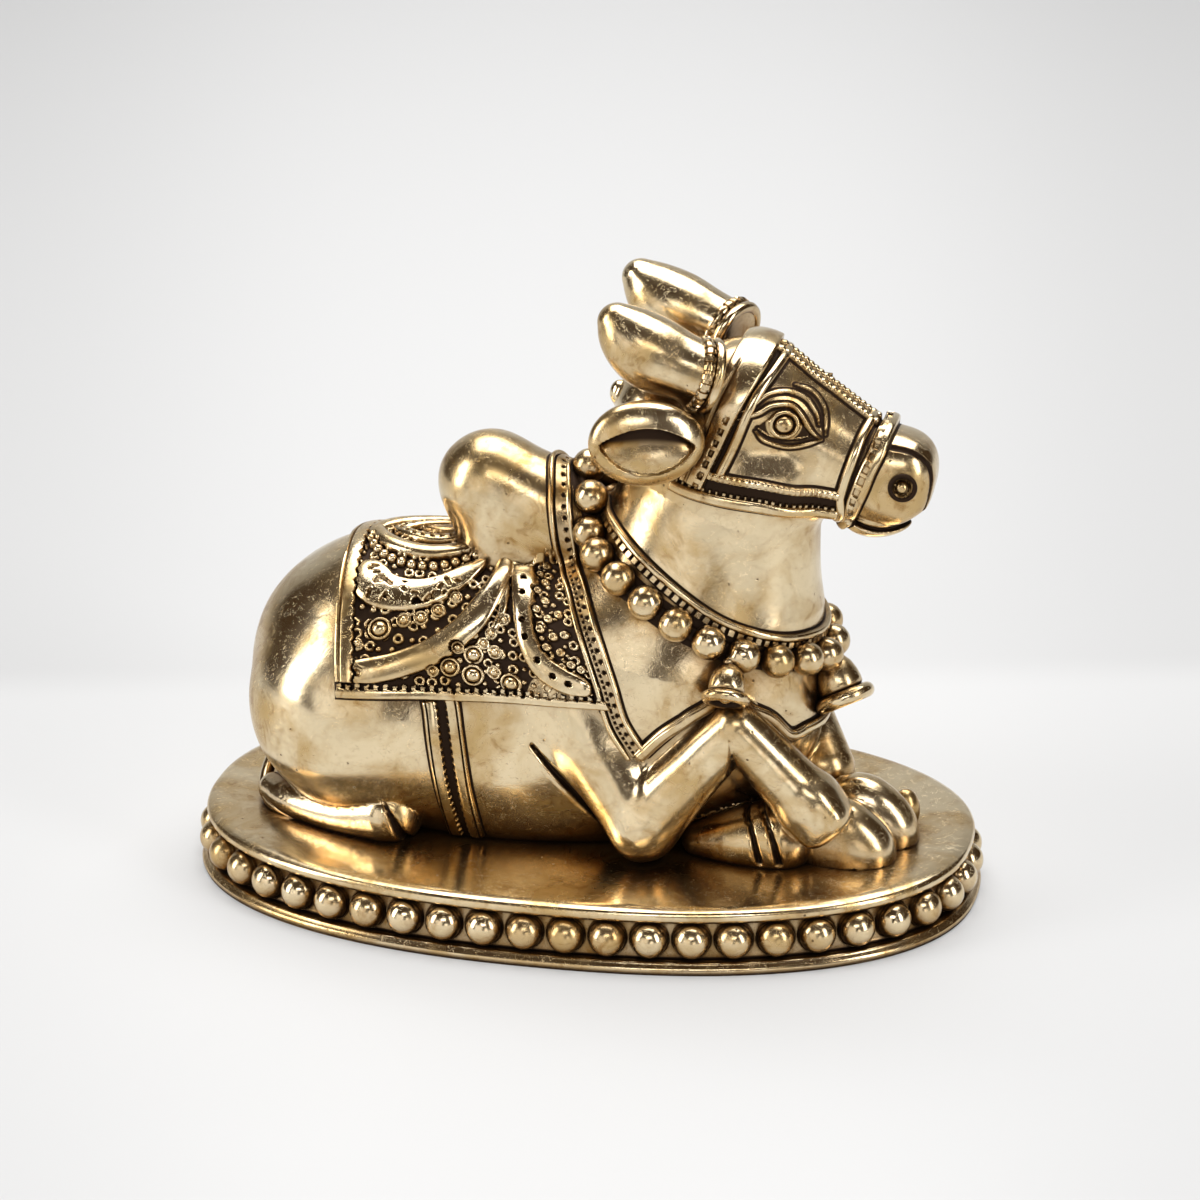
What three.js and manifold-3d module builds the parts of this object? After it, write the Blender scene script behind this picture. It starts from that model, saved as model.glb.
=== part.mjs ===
// A seated bull on a bead-edged oval plinth, cast in brass: saddle cloth, halter, bead necklace and bells.
// Millimetres, +Z up. The bull faces +X, and the origin is at the centre of the plinth's underside.
import * as THREE from 'three';
import { mergeVertices } from 'three/addons/utils/BufferGeometryUtils.js';
import Module from 'manifold-3d';

const wasm = await Module();
wasm.setup();

// Bull. Its pose and proportions are shares of its length: a part is FIGURE_LENGTH / LENGTH_IN_PARTS.
const FIGURE_LENGTH = 133;        // rump to muzzle
const LENGTH_IN_PARTS = 133;
const WIDTH_IN_PARTS = 58;        // across the ears
const PART = FIGURE_LENGTH / LENGTH_IN_PARTS;

// Plinth
const END_MARGIN = 8.5;           // plinth past the bull at each end
const SIDE_MARGIN = 16.3;         // plinth past the ears at each side
const OVAL_FULLNESS = 2.3;        // 2 is a true ellipse, more is fuller at the corners
const PLATE_THICKNESS = 2.8;
const BAND_HEIGHT = 7.4;
const FOOT_RIM_HEIGHT = 2.3;
const FOOT_RIM_OVERHANG = 1.4;    // how far the foot rim stands out past the top plate
const BAND_RECESS = 2.6;          // how far the beads' band lies behind the plate's edge
const EDGE_ROUND = 1.1;
const RIM_BEAD_RADIUS = 3.35;
const RIM_BEAD_PITCH = 7.8;

// Harness and ornament, laid on the bull's own surface
const CLOTH_THICKNESS = 0.8;
const CLOTH_RELIEF = 0.9;         // how far borders and sashes stand above the cloth
const CLOTH_BORDER = 2.8;
const SASH_WIDTH = 3.8;
const STRAP_WIDTH = 4;
const STRAP_THICKNESS = 1.2;
const GIRTH_WIDTH = 2.4;
const GIRTH_GAP = 1.2;
const HALTER_WIDTH = 3;
const HALTER_THICKNESS = 1.1;
const COLLAR_WIDTH = 2.4;
const COLLAR_THICKNESS = 1.3;
const COLLAR_ABOVE_BEADS = 4.4;
const NECKLACE_BEAD_RADIUS = 3.2;
const NECKLACE_BEAD_PITCH = 6.7;
const BELL_RADIUS = 4.9;
const BELL_HEIGHT = 9;
const CLAPPER_RADIUS = 1.6;
const BOSS_RADIUS = 1.3;
const TAIL_RADIUS = 1.4;

const BRASS = { color: 0xb08d57, metalness: 1, roughness: 0.28 };
const DEGREE = Math.PI / 180;
const PLATE_TOP = FOOT_RIM_HEIGHT + BAND_HEIGHT + PLATE_THICKNESS;
const REACH = 3 * FIGURE_LENGTH;  // longer than anything that a prism passes through

// Joins and cuts

function solidOf(geometry) {
  const bare = geometry.clone();
  bare.deleteAttribute('normal');
  bare.deleteAttribute('uv');
  const merged = mergeVertices(bare, 1e-4);
  return new wasm.Manifold(new wasm.Mesh({
    numProp: 3,
    vertProperties: new Float32Array(merged.attributes.position.array),
    triVerts: new Uint32Array(merged.index.array),
  }));
}

function geometryOf(solid) {
  const mesh = solid.getMesh();
  const geometry = new THREE.BufferGeometry();
  geometry.setAttribute('position', new THREE.BufferAttribute(new Float32Array(mesh.vertProperties), 3));
  geometry.setIndex(new THREE.BufferAttribute(new Uint32Array(mesh.triVerts), 1));
  geometry.computeVertexNormals();
  return geometry;
}

const join = (solids) => solids.reduce((whole, next) => whole.add(next));

// Forms of the bull, given in parts, with heights above the plinth's top plate

const placed = ([x, y, z]) => new THREE.Vector3(x * PART, y * PART, z * PART + PLATE_TOP);

// A skin of rows of points, each closed round, that draws in to one point at both ends. place gives the
// point of a row at a turn, and the rows run so that turns go anticlockwise seen from the last row.
function skinOf(rows, sides, place) {
  const isEnd = (row) => row % (rows - 1) === 0;
  const profile = Array.from({ length: rows }, (_, row) => new THREE.Vector2(isEnd(row) ? 0 : 1, row));
  const geometry = new THREE.LatheGeometry(profile, sides);
  const position = geometry.attributes.position;
  for (let i = 0; i < position.count; i++) {
    const point = place(i % rows, Math.floor(i / rows) % sides);
    position.setXYZ(i, point.x, point.y, point.z);
  }
  return solidOf(geometry);
}

// A barrel: oval rings, each [place along the barrel, middle, half depth, half width]. It lies along X, its
// middles and depths being heights, or stands upright along Z, its middles and depths being lengths along X.
function barrel({ rings, upright = false, detail = 16 }, grow) {
  const last = rings.length - 1;
  return skinOf(rings.length, detail, (row, side) => {
    const [along, middle, depth, width] = rings[row];
    const turn = (side / detail) * 2 * Math.PI;
    const atEnd = row === 0 || row === last;
    const past = (row === last ? grow : 0) - (row === 0 ? grow : 0);
    const spread = atEnd ? [0, 0] : [depth * PART + grow, width * PART + grow];
    const point = upright ? placed([middle, 0, along]) : placed([along, 0, middle]);
    const offset = upright
      ? new THREE.Vector3(spread[0] * Math.cos(turn), spread[1] * Math.sin(turn), past)
      : new THREE.Vector3(past, spread[1] * Math.cos(turn), spread[0] * Math.sin(turn));
    return point.add(offset);
  });
}

// An ellipsoid, or with a power above 2 a softly squared block. grow is a thickness added all over, in mm.
function ovoid({ at, radii, tilt = 0, yaw = 0, power = 2, detail = 10 }, grow) {
  const geometry = new THREE.SphereGeometry(1, detail, Math.round(detail * 0.6));
  const position = geometry.attributes.position;
  const point = new THREE.Vector3();
  for (let i = 0; i < position.count; i++) {
    point.fromBufferAttribute(position, i);
    const sum = Math.abs(point.x) ** power + Math.abs(point.y) ** power + Math.abs(point.z) ** power;
    point.divideScalar(sum ** (1 / power));
    position.setXYZ(i, point.x, point.y, point.z);
  }
  geometry.scale(...radii.map((radius) => radius * PART + grow));
  geometry.rotateY(tilt * DEGREE);
  geometry.rotateZ(yaw * DEGREE);
  geometry.translate(...placed(at).toArray());
  return solidOf(geometry);
}

// A limb: a tapered rod with round ends.
function limb({ from, to, radii, detail = 7 }, grow) {
  const [start, end] = [placed(from), placed(to)];
  const [thick, thin] = radii.map((radius) => radius * PART + grow);
  const length = start.distanceTo(end);
  const capSteps = Math.max(2, Math.round(detail / 4));
  const profile = [];
  for (let i = 0; i <= capSteps; i++) {
    const angle = (i / capSteps) * Math.PI / 2;
    profile.push(new THREE.Vector2(thick * Math.sin(angle), -thick * Math.cos(angle)));
  }
  for (let i = 0; i <= capSteps; i++) {
    const angle = (i / capSteps) * Math.PI / 2;
    profile.push(new THREE.Vector2(thin * Math.cos(angle), length + thin * Math.sin(angle)));
  }
  profile[0].x = 0;
  profile[profile.length - 1].x = 0;
  const geometry = new THREE.LatheGeometry(profile, detail);
  const along = end.clone().sub(start).normalize();
  const across = new THREE.Vector3().crossVectors(along, new THREE.Vector3(0, 1, 0)).normalize();
  const side = new THREE.Vector3().crossVectors(across, along);
  geometry.applyMatrix4(new THREE.Matrix4().makeBasis(across, along, side));
  geometry.translate(start.x, start.y, start.z);
  return solidOf(geometry);
}

function mirrored(form) {
  const copy = { ...form, yaw: -(form.yaw ?? 0) };
  for (const key of ['at', 'from', 'to']) {
    if (form[key]) copy[key] = [form[key][0], -form[key][1], form[key][2]];
  }
  return copy;
}

const pair = (form) => [form, mirrored(form)];
function make(form, grow) {
  if (form.rings) return barrel(form, grow);
  return form.at ? ovoid(form, grow) : limb(form, grow);
}

const build = (forms, grow = 0) => join(forms.map((form) => make(form, grow)));

const TRUNK = [{
  detail: 16,
  rings: [
    [-66.2, 26.3, 0, 0], [-63.2, 25.4, 12, 13], [-57.5, 24.4, 20.6, 23], [-49, 24.2, 26.6, 27.4],
    [-37, 23.8, 29.6, 28.6], [-22, 23.1, 31, 25.4], [-5, 22.4, 30, 24.6], [12, 23.2, 28.8, 24.7],
    [26, 25.4, 27.1, 21.7], [37, 26.6, 21.4, 16.2], [44, 27.6, 11.6, 8.8], [46.4, 28.5, 0, 0],
  ],
}];
const NECK = [{
  upright: true,
  detail: 13,
  rings: [
    [20, 20, 0, 0], [28, 20, 24.5, 21.4], [43.5, 19.7, 26.4, 22], [53, 22, 23.4, 18.6],
    [62, 24.6, 20.8, 16.3], [74, 27.8, 17.8, 15], [82, 27.6, 13.8, 11.8], [88, 27.6, 0, 0],
  ],
}];
const HUMP = [
  { from: [-12.5, 0, 51], to: [-17.8, 0, 65], radii: [10.8, 9.8], detail: 9 },
  { from: [-17.8, 0, 65], to: [-4.5, 0, 60], radii: [9.8, 9.4], detail: 9 },
];
const SKULL = [
  { from: [33, 0, 83.2], to: [54, 0, 73], radii: [13.1, 9.3], detail: 11 },
  { at: [15.5, 0, 83.5], radii: [9.5, 11.5, 8.5], detail: 8 },
];
const MUZZLE = [
  { at: [58.4, 0, 71.8], radii: [8.3, 9, 9.2], tilt: 14, power: 2.6, detail: 10 },
  { at: [56.5, 0, 64.1], radii: [7, 6.8, 3.8], tilt: -4, detail: 8 },
];
const HORN_MIDDLE = [15.6, -13.4, 97.3];
const HORNS = [
  ...pair({ from: [25, -13, 93.6], to: HORN_MIDDLE, radii: [5.8, 6.8] }),
  ...pair({ from: HORN_MIDDLE, to: [9.8, -14, 103], radii: [6.8, 3.6] }),
];
const EARS = pair({ at: [17, -22.3, 82.8], radii: [10.6, 4.4, 8.1], tilt: 3, yaw: 18, detail: 8 });
const EAR_ROOTS = pair({ from: [24, -10, 83.4], to: [21.5, -19, 83.6], radii: [4.4, 3.4], detail: 6 });
const EAR_HOLLOWS = pair({ at: [18.2, -26.3, 82.9], radii: [8.4, 2.6, 4.2], tilt: 3, yaw: 18, detail: 7 });

const SHOULDER = [5, -15, 31.5];
const ELBOW = [15.5, -22, 7.5];
const KNEE = [33.4, -21.3, 26.8];
const FORELEG = [
  { from: SHOULDER, to: ELBOW, radii: [9, 7.2] },
  { from: ELBOW, to: KNEE, radii: [7.2, 4.8] },
];
const FORELEGS = [
  ...FORELEG,
  ...FORELEG.map(mirrored),
  { from: KNEE, to: [48.3, -19.6, 11.8], radii: [4.8, 6.3] },
  { from: mirrored({ at: KNEE }).at, to: [45.3, 4, 10], radii: [4.8, 6.2] },
];
const HOOVES = [
  { at: [52.8, -12.8, 1.8], radii: [10.6, 6.1, 8.3], tilt: 36, detail: 7 },
  { at: [55.2, -4.2, 2.2], radii: [11, 5.6, 8.8], tilt: 38, detail: 7 },
  { at: [60.6, 1.9, 3], radii: [3.6, 3.4, 4.6], detail: 5 },
];
const FOLDED_FOOT = { from: [25.5, -16.6, 2.6], to: [41, -15.8, 4], radii: [3.4, 7.2] };
const HIND_ANKLE = [-46, -18.4, 2.5];
const HIND_FEET = [
  ...pair({ from: [-57, -12.5, 2.4], to: HIND_ANKLE, radii: [3.4, 3.8], detail: 6 }),
  ...pair({ from: HIND_ANKLE, to: [-34, -19.7, 3.6], radii: [3.8, 6] }),
];

// Bands and cloth follow an outline in side view, cut through the bull from side to side

const sideView = ([x, z]) => new THREE.Vector2(x * PART, z * PART + PLATE_TOP);

function prism(shape) {
  const geometry = new THREE.ExtrudeGeometry(shape, { depth: REACH, bevelEnabled: false, curveSegments: 5 });
  geometry.translate(0, 0, -REACH / 2);
  geometry.rotateX(90 * DEGREE);
  return solidOf(geometry);
}

// A strip of a given width in mm along a smooth line through the points. taper narrows it towards both ends.
function ribbon(points, width, { steps = 1, taper = 0 } = {}) {
  const line = new THREE.SplineCurve(points.map(sideView));
  const edges = [[], []];
  for (let i = 0; i <= steps; i++) {
    const share = i / steps;
    const point = line.getPoint(share);
    const tangent = line.getTangent(share);
    const half = (width / 2) * (1 - taper * Math.abs(2 * share - 1) ** 3);
    edges[0].push(new THREE.Vector2(point.x - tangent.y * half, point.y + tangent.x * half));
    edges[1].unshift(new THREE.Vector2(point.x + tangent.y * half, point.y - tangent.x * half));
  }
  return prism(new THREE.Shape(edges.flat()));
}

const laid = (outline, forms, height) => outline.intersect(build(forms, height));

const BACK_AND_NECK = [...TRUNK, ...NECK];
const SKIN = [...BACK_AND_NECK, ...HUMP];
const CLOTH_TOP = 76;             // above the back, in parts, so that the outline clears it
const CLOTH_CORNERS = [[-36, CLOTH_TOP], [-41, 30.3], [8.8, 33.9], [-4.5, 70]];
const REAR_SASH = [[-16, 52], [-17, 48], [-22, 41.5], [-30, 37.2], [-39, 34]];
const FRONT_SASH = [[-11, 56], [-8.6, 47.5], [-6, 41], [-1, 37], [5, 37]];
const LEAF = [[-38.5, 47.5], [-34, 45.2], [-26, 46.4], [-18.5, 52.5]];
const CRESCENT = [[-40, 54], [-35, 51], [-29, 50.6], [-22, 52.6]];
const CLOTH_STRAP = [[-5.6, 72], [15.6, 19.8]];
const BREAST_HEM = [[15.6, 19.8], [31.5, 34.5], [42.5, 21.5], [50, 29]];
const GIRTH_TOP = [-22.4, 29];
const GIRTH_FOOT = [-17, -2];

function saddleCloth() {
  const outline = new THREE.Shape(CLOTH_CORNERS.map(sideView));
  const [rearTop, rearFoot, frontFoot] = CLOTH_CORNERS;
  const raised = CLOTH_THICKNESS + CLOTH_RELIEF;
  const inset = CLOTH_BORDER / 2 / PART;
  const border = [
    ribbon([[rearTop[0] + inset, rearTop[1]], [rearFoot[0] + inset, rearFoot[1]]], CLOTH_BORDER),
    ribbon([[rearFoot[0], rearFoot[1] + inset], [frontFoot[0], frontFoot[1] + inset]], CLOTH_BORDER),
  ];
  const figures = [
    ribbon(REAR_SASH, SASH_WIDTH, { steps: 4, taper: 0.5 }),
    ribbon(FRONT_SASH, SASH_WIDTH, { steps: 4, taper: 0.4 }),
    ribbon(LEAF, 2 * SASH_WIDTH, { steps: 3, taper: 0.9 }),
    ribbon(CRESCENT, 0.7 * SASH_WIDTH, { steps: 3, taper: 0.8 }),
  ];
  return [
    laid(prism(outline), BACK_AND_NECK, CLOTH_THICKNESS),
    laid(join([...border, ...figures]), BACK_AND_NECK, raised),
  ];
}

const BOSS_PLACES = [
  [-35.5, 40], [-18, 37.5], [-14.6, 41], [-11, 37.5], [-3.4, 53], [-1, 46], [1.8, 40.5],
];

function straps() {
  const girths = [-1, 1].map((side) => {
    const shift = side * (GIRTH_WIDTH + GIRTH_GAP) / 2 / PART;
    return ribbon([GIRTH_TOP, GIRTH_FOOT].map(([x, z]) => [x + shift, z]), GIRTH_WIDTH);
  });
  const hem = BREAST_HEM.slice(1).map((point, i) => ribbon([BREAST_HEM[i], point], STRAP_WIDTH));
  return [
    laid(join([ribbon(CLOTH_STRAP, STRAP_WIDTH), ...hem]), SKIN, STRAP_THICKNESS),
    laid(join(girths), TRUNK, STRAP_THICKNESS),
  ];
}

function halter() {
  const headForms = [...SKULL, ...MUZZLE];
  const brow = ribbon([[34, 104], [24.6, 70]], 1.5 * HALTER_WIDTH);
  const nose = ribbon([[59, 88], [49.6, 58]], 1.2 * HALTER_WIDTH);
  const jaw = ribbon([[23, 73.4], [51, 64.4]], 1.2 * HALTER_WIDTH);
  const face = new THREE.BoxGeometry(REACH, HALTER_WIDTH, REACH);
  const top = prism(new THREE.Shape([[33, 85], [33, 110], [62, 110], [56, 78]].map(sideView)));
  return [
    laid(join([brow, nose, jaw]), headForms, HALTER_THICKNESS),
    laid(solidOf(face).intersect(top), headForms, HALTER_THICKNESS),
  ];
}

// The necklace lies round the neck's foot: level across, sloping down to the front, sagging at the sides

const LOOP_REAR = [-1, 66.5];
const LOOP_FRONT = [47, 36.3];
const LOOP_SAG = 4.6;

const LOOP_LENGTH = LOOP_FRONT[0] - LOOP_REAR[0];
const LOOP_FALL = LOOP_REAR[1] - LOOP_FRONT[1];

const loopHeight = (share) => LOOP_REAR[1] - LOOP_FALL * share - LOOP_SAG * 4 * share * (1 - share);

const collarLine = () => [-0.2, 0, 0.25, 0.5, 0.75, 1, 1.2].map((share) => {
  const held = THREE.MathUtils.clamp(share, 0, 1);
  const drop = (share - held) * LOOP_FALL;
  return [LOOP_REAR[0] + LOOP_LENGTH * share, loopHeight(held) - drop + COLLAR_ABOVE_BEADS / PART];
});

function outermost(mesh, origin, direction) {
  const hits = new THREE.Raycaster(origin, direction).intersectObject(mesh);
  return hits.at(-1).point;
}

function surfaceOf(forms) {
  const bothSides = new THREE.MeshBasicMaterial({ side: THREE.DoubleSide });
  const mesh = new THREE.Mesh(geometryOf(build(forms)), bothSides);
  mesh.updateMatrixWorld();
  return mesh;
}

// The loop's point at a turn, 0 at the front and half a turn at the rear
function loopPoint(surface, turn) {
  const share = (1 + Math.cos(turn)) / 2;
  const middle = placed([LOOP_REAR[0] + LOOP_LENGTH / 2, 0, loopHeight(share)]);
  return outermost(surface, middle, new THREE.Vector3(Math.cos(turn), Math.sin(turn), 0));
}

const ball = (centre, radius, detail = 5, rows = 3) => {
  const geometry = new THREE.SphereGeometry(radius, detail, rows);
  geometry.translate(centre.x, centre.y, centre.z);
  return solidOf(geometry);
};

function necklace(surface) {
  const turns = 240;
  const line = Array.from({ length: turns }, (_, i) => loopPoint(surface, (i / turns) * 2 * Math.PI));
  const loop = new THREE.CatmullRomCurve3(line, true);
  const beads = Math.round(loop.getLength() / NECKLACE_BEAD_PITCH);
  const middle = placed([LOOP_REAR[0] + LOOP_LENGTH / 2, 0, 0]);
  return loop.getSpacedPoints(beads).slice(0, beads).map((point) => {
    const outward = new THREE.Vector3(point.x - middle.x, point.y, 0).setLength(NECKLACE_BEAD_RADIUS / 2);
    return ball(point.add(outward), NECKLACE_BEAD_RADIUS);
  });
}

const collar = () => laid(ribbon(collarLine(), COLLAR_WIDTH, { steps: 8 }), BACK_AND_NECK, COLLAR_THICKNESS);

// A bell hangs mouth down, its back let into the chest. Its mouth is hollow, with a clapper.
function bell(crown) {
  const shell = [
    [0, 0], [0.5, -0.1], [0.75, -0.4], [0.78, -0.68], [1, -0.84], [1, -1], [0, -1],
  ].map(([r, z]) => new THREE.Vector2(r * BELL_RADIUS, z * BELL_HEIGHT));
  const mouth = [[0, -0.62], [0.6, -0.7], [0.78, -1.1], [0, -1.1]]
    .map(([r, z]) => new THREE.Vector2(r * BELL_RADIUS, z * BELL_HEIGHT));
  const [outside, inside] = [shell, mouth].map((profile) => {
    const geometry = new THREE.LatheGeometry(profile.reverse(), 7);
    geometry.rotateX(90 * DEGREE);
    geometry.translate(crown.x, crown.y, crown.z);
    return solidOf(geometry);
  });
  const clapper = ball(crown.clone().add(new THREE.Vector3(0, 0, -0.72 * BELL_HEIGHT)), CLAPPER_RADIUS);
  return outside.subtract(inside).add(clapper);
}

const BELL_PLACES = [[31.6, -20, 38.6], [49.6, 0, 33.4], [31.6, 20, 38.6]];

function onSkin(surface, [x, z], side, sink) {
  const skin = outermost(surface, placed([x, 0, z]), new THREE.Vector3(0, side, 0));
  return skin.add(new THREE.Vector3(0, -side * sink, 0));
}

function bosses(surface) {
  return [-1, 1].flatMap((side) => BOSS_PLACES.map((place) => (
    ball(onSkin(surface, place, side, -CLOTH_THICKNESS), BOSS_RADIUS, 4, 2)
  )));
}

// Face: an almond lid with a round eye in it, and a round nostril

const eyes = pair({ at: [41, -11.3, 85.2], radii: [6.4, 1.6, 3], tilt: 8, yaw: 12, detail: 7 });
const pupils = pair({ at: [41.6, -12.6, 85.4], radii: [1.9, 1.2, 1.9], detail: 5 });
const nostrils = pair({ at: [61.6, -8.4, 73], radii: [1.8, 1.6, 1.8], detail: 5 });
const hornRings = pair({ at: [25.4, -13, 93.4], radii: [1.7, 6.9, 6.9], tilt: -8, detail: 7 });
const TAIL = [[-60.5, 3, 11.5], [-62.5, -3, 6], [-62.6, -7.4, 2.8], [-52, -18.6, 1], [-37, -25, 0.8]];

function tail() {
  const path = new THREE.CatmullRomCurve3(TAIL.map(placed));
  const section = new THREE.Shape();
  section.absarc(0, 0, TAIL_RADIUS, 0, 2 * Math.PI);
  return solidOf(new THREE.ExtrudeGeometry(section, { steps: 7, extrudePath: path, curveSegments: 3 }));
}

function nandiBull() {
  const skin = surfaceOf(SKIN);
  const ears = build([...EARS, ...EAR_ROOTS]).subtract(build(EAR_HOLLOWS));
  const whole = join([
    build(SKIN),
    build([...SKULL, ...MUZZLE]),
    ears,
    build([...HORNS, ...hornRings, ...FORELEGS, ...HOOVES, FOLDED_FOOT, ...HIND_FEET]),
    build([...eyes, ...pupils, ...nostrils]),
    tail(),
    ...saddleCloth(),
    ...bosses(skin),
    ...straps(),
    ...halter(),
    collar(),
    ...necklace(surfaceOf(BACK_AND_NECK)),
    ...BELL_PLACES.map((place) => bell(placed(place))),
  ]);
  const below = new THREE.BoxGeometry(REACH, REACH, REACH);
  below.translate(0, 0, PLATE_TOP - REACH / 2);
  return geometryOf(whole.subtract(solidOf(below)));
}

// Plinth: an oval whose outline at any depth is the top plate's, moved in or out

const HALF_LENGTH = FIGURE_LENGTH / 2 + END_MARGIN;
const HALF_WIDTH = (WIDTH_IN_PARTS / 2) * PART + SIDE_MARGIN;

function ovalPoint(turn, out) {
  const bend = (value) => Math.sign(value) * Math.abs(value) ** (2 / OVAL_FULLNESS);
  const [across, deep] = [HALF_LENGTH + out, HALF_WIDTH + out];
  return new THREE.Vector2(across * bend(Math.cos(turn)), deep * bend(Math.sin(turn)));
}

// Turns at equal steps along the oval, count of them
function evenTurns(count, out) {
  const fine = 2000;
  const along = [0];
  for (let i = 1; i <= fine; i++) {
    const [before, here] = [i - 1, i].map((k) => ovalPoint((k / fine) * 2 * Math.PI, out));
    along.push(along[i - 1] + here.distanceTo(before));
  }
  const total = along[fine];
  const places = count ?? Math.round(total / RIM_BEAD_PITCH);
  return Array.from({ length: places }, (_, i) => {
    const k = along.findIndex((value) => value > ((i + 0.5) / places) * total);
    return (k / fine) * 2 * Math.PI;
  });
}

function ovalPlinth() {
  const sides = 48;
  const turns = evenTurns(sides, 0);
  const bandFoot = FOOT_RIM_HEIGHT;
  const bandTop = FOOT_RIM_HEIGHT + BAND_HEIGHT;
  const levels = [
    [0, FOOT_RIM_OVERHANG],
    [bandFoot - EDGE_ROUND / 2, FOOT_RIM_OVERHANG],
    [bandFoot, FOOT_RIM_OVERHANG - EDGE_ROUND],
    [bandFoot, -BAND_RECESS],
    [bandTop, -BAND_RECESS],
    [bandTop, -EDGE_ROUND],
    [bandTop + EDGE_ROUND / 2, 0],
    [PLATE_TOP - EDGE_ROUND / 2, 0],
    [PLATE_TOP, -EDGE_ROUND],
  ];
  const rows = levels.length + 2;
  const plate = skinOf(rows, sides, (row, side) => {
    const [height, out] = levels[THREE.MathUtils.clamp(row - 1, 0, levels.length - 1)];
    const edge = row % (rows - 1) === 0 ? new THREE.Vector2() : ovalPoint(turns[side], out);
    return new THREE.Vector3(edge.x, edge.y, height);
  });
  const beadLine = FOOT_RIM_OVERHANG - RIM_BEAD_RADIUS;
  const beadHeight = FOOT_RIM_HEIGHT + BAND_HEIGHT / 2;
  const beads = evenTurns(undefined, beadLine).map((turn) => {
    const place = ovalPoint(turn, beadLine);
    return ball(new THREE.Vector3(place.x, place.y, beadHeight), RIM_BEAD_RADIUS);
  });
  return geometryOf(join([plate, ...beads]));
}

const pieces = { oval_plinth: ovalPlinth(), nandi_bull: nandiBull() };
const group = new THREE.Group();
for (const [name, geometry] of Object.entries(pieces)) {
  const mesh = new THREE.Mesh(geometry, new THREE.MeshStandardMaterial(BRASS));
  mesh.name = name;
  group.add(mesh);
}

export default group;
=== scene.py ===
"""A seated bull in cast and polished brass, on an oval plinth with a beaded edge.

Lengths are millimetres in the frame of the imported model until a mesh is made: +X is the way the bull faces,
+Y its left side, +Z up, and the origin is the centre of the plinth's underside.
"""

import math

import bpy
import numpy as np
from mathutils import Matrix, Vector


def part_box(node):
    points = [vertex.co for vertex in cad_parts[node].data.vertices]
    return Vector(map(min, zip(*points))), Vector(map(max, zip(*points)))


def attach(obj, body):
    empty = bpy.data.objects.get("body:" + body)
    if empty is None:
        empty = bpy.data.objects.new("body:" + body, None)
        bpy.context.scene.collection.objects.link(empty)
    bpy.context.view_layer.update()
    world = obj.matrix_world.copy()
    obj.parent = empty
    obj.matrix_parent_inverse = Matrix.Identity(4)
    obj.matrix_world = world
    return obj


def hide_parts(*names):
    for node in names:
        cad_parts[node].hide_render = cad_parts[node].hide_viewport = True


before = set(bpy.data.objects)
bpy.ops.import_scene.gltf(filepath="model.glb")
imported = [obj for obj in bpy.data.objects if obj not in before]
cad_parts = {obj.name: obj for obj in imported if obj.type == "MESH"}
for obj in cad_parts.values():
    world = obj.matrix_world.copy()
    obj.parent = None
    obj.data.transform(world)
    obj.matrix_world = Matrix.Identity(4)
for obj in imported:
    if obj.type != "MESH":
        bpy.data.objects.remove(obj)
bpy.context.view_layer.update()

MM = 0.001
PLATE_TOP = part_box("oval_plinth")[1].z / MM
FAR = 14.0        # what a field holds where no form is near
REACH = 11.0      # how far round a form its field is worked out
SINK = 0.25       # how far the bull's foot is let into the plate
EVERYWHERE = np.full(3, 1e4)


# Fields: a form is (value, low corner, high corner), and value is below 0 inside it

def spin(degrees, axis):
    return Matrix.Rotation(math.radians(degrees), 3, axis)


def turned(tilt=0, yaw=0):
    """Rotation by tilt about Y, then yaw about Z, in degrees."""
    return np.array(spin(yaw, "Z") @ spin(tilt, "Y"))


def block(middle, radii, power=2.0, tilt=0, yaw=0):
    """An ellipsoid, or with a power above 2 a softly squared block."""
    middle, radii, turn = np.array(middle, float), np.array(radii, float), turned(tilt, yaw)
    if power == 2:
        spread = np.sqrt(((turn * radii) ** 2).sum(1))
    else:
        spread = np.full(3, math.sqrt(3) * radii.max())

    def value(X, Y, Z):
        x, y, z = X - middle[0], Y - middle[1], Z - middle[2]
        local = [(turn[0, i] * x + turn[1, i] * y + turn[2, i] * z) / radii[i] for i in range(3)]
        size = sum(np.abs(v) ** power for v in local) ** (1 / power)
        round_size = np.sqrt(sum(v * v for v in local))
        slope = np.sqrt(sum((v / r) ** 2 for v, r in zip(local, radii)))
        return (size - 1) * round_size / np.maximum(slope, 1e-9)
    return value, middle - spread, middle + spread


def rod(start, end, thick, thin, flat=1.0):
    """A rod with round ends, from radius thick to thin, squeezed across Y by flat."""
    start, end = np.array(start, float), np.array(end, float)
    way = end - start
    length = float(np.linalg.norm(way))
    lean = (thick - thin) / length
    spare = max(thick, thin) * max(flat, 1)

    def value(X, Y, Z):
        x, y, z = X - start[0], Y - start[1], Z - start[2]
        along = (x * way[0] + y * way[1] + z * way[2]) / length
        if flat != 1:
            on_axis = way[1] * np.clip(along / length, 0, 1)
            y = on_axis + (y - on_axis) / flat
            along = (x * way[0] + y * way[1] + z * way[2]) / length
        away = np.sqrt(np.maximum(x * x + y * y + z * z - along * along, 0))
        share = np.clip((along + away * lean / math.sqrt(1 - lean * lean)) / length, 0, 1)
        return np.sqrt((along - share * length) ** 2 + away ** 2) - (thick + (thin - thick) * share)
    return value, np.minimum(start, end) - spare, np.maximum(start, end) + spare


def grown(form, by):
    value, low, high = form
    return (lambda X, Y, Z: value(X, Y, Z) - by), low - by, high + by


def smooth_min(a, b, blend):
    if blend <= 0:
        return np.minimum(a, b)
    near = np.maximum(blend - np.abs(a - b), 0) / blend
    return np.minimum(a, b) - near * near * blend / 4


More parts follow.
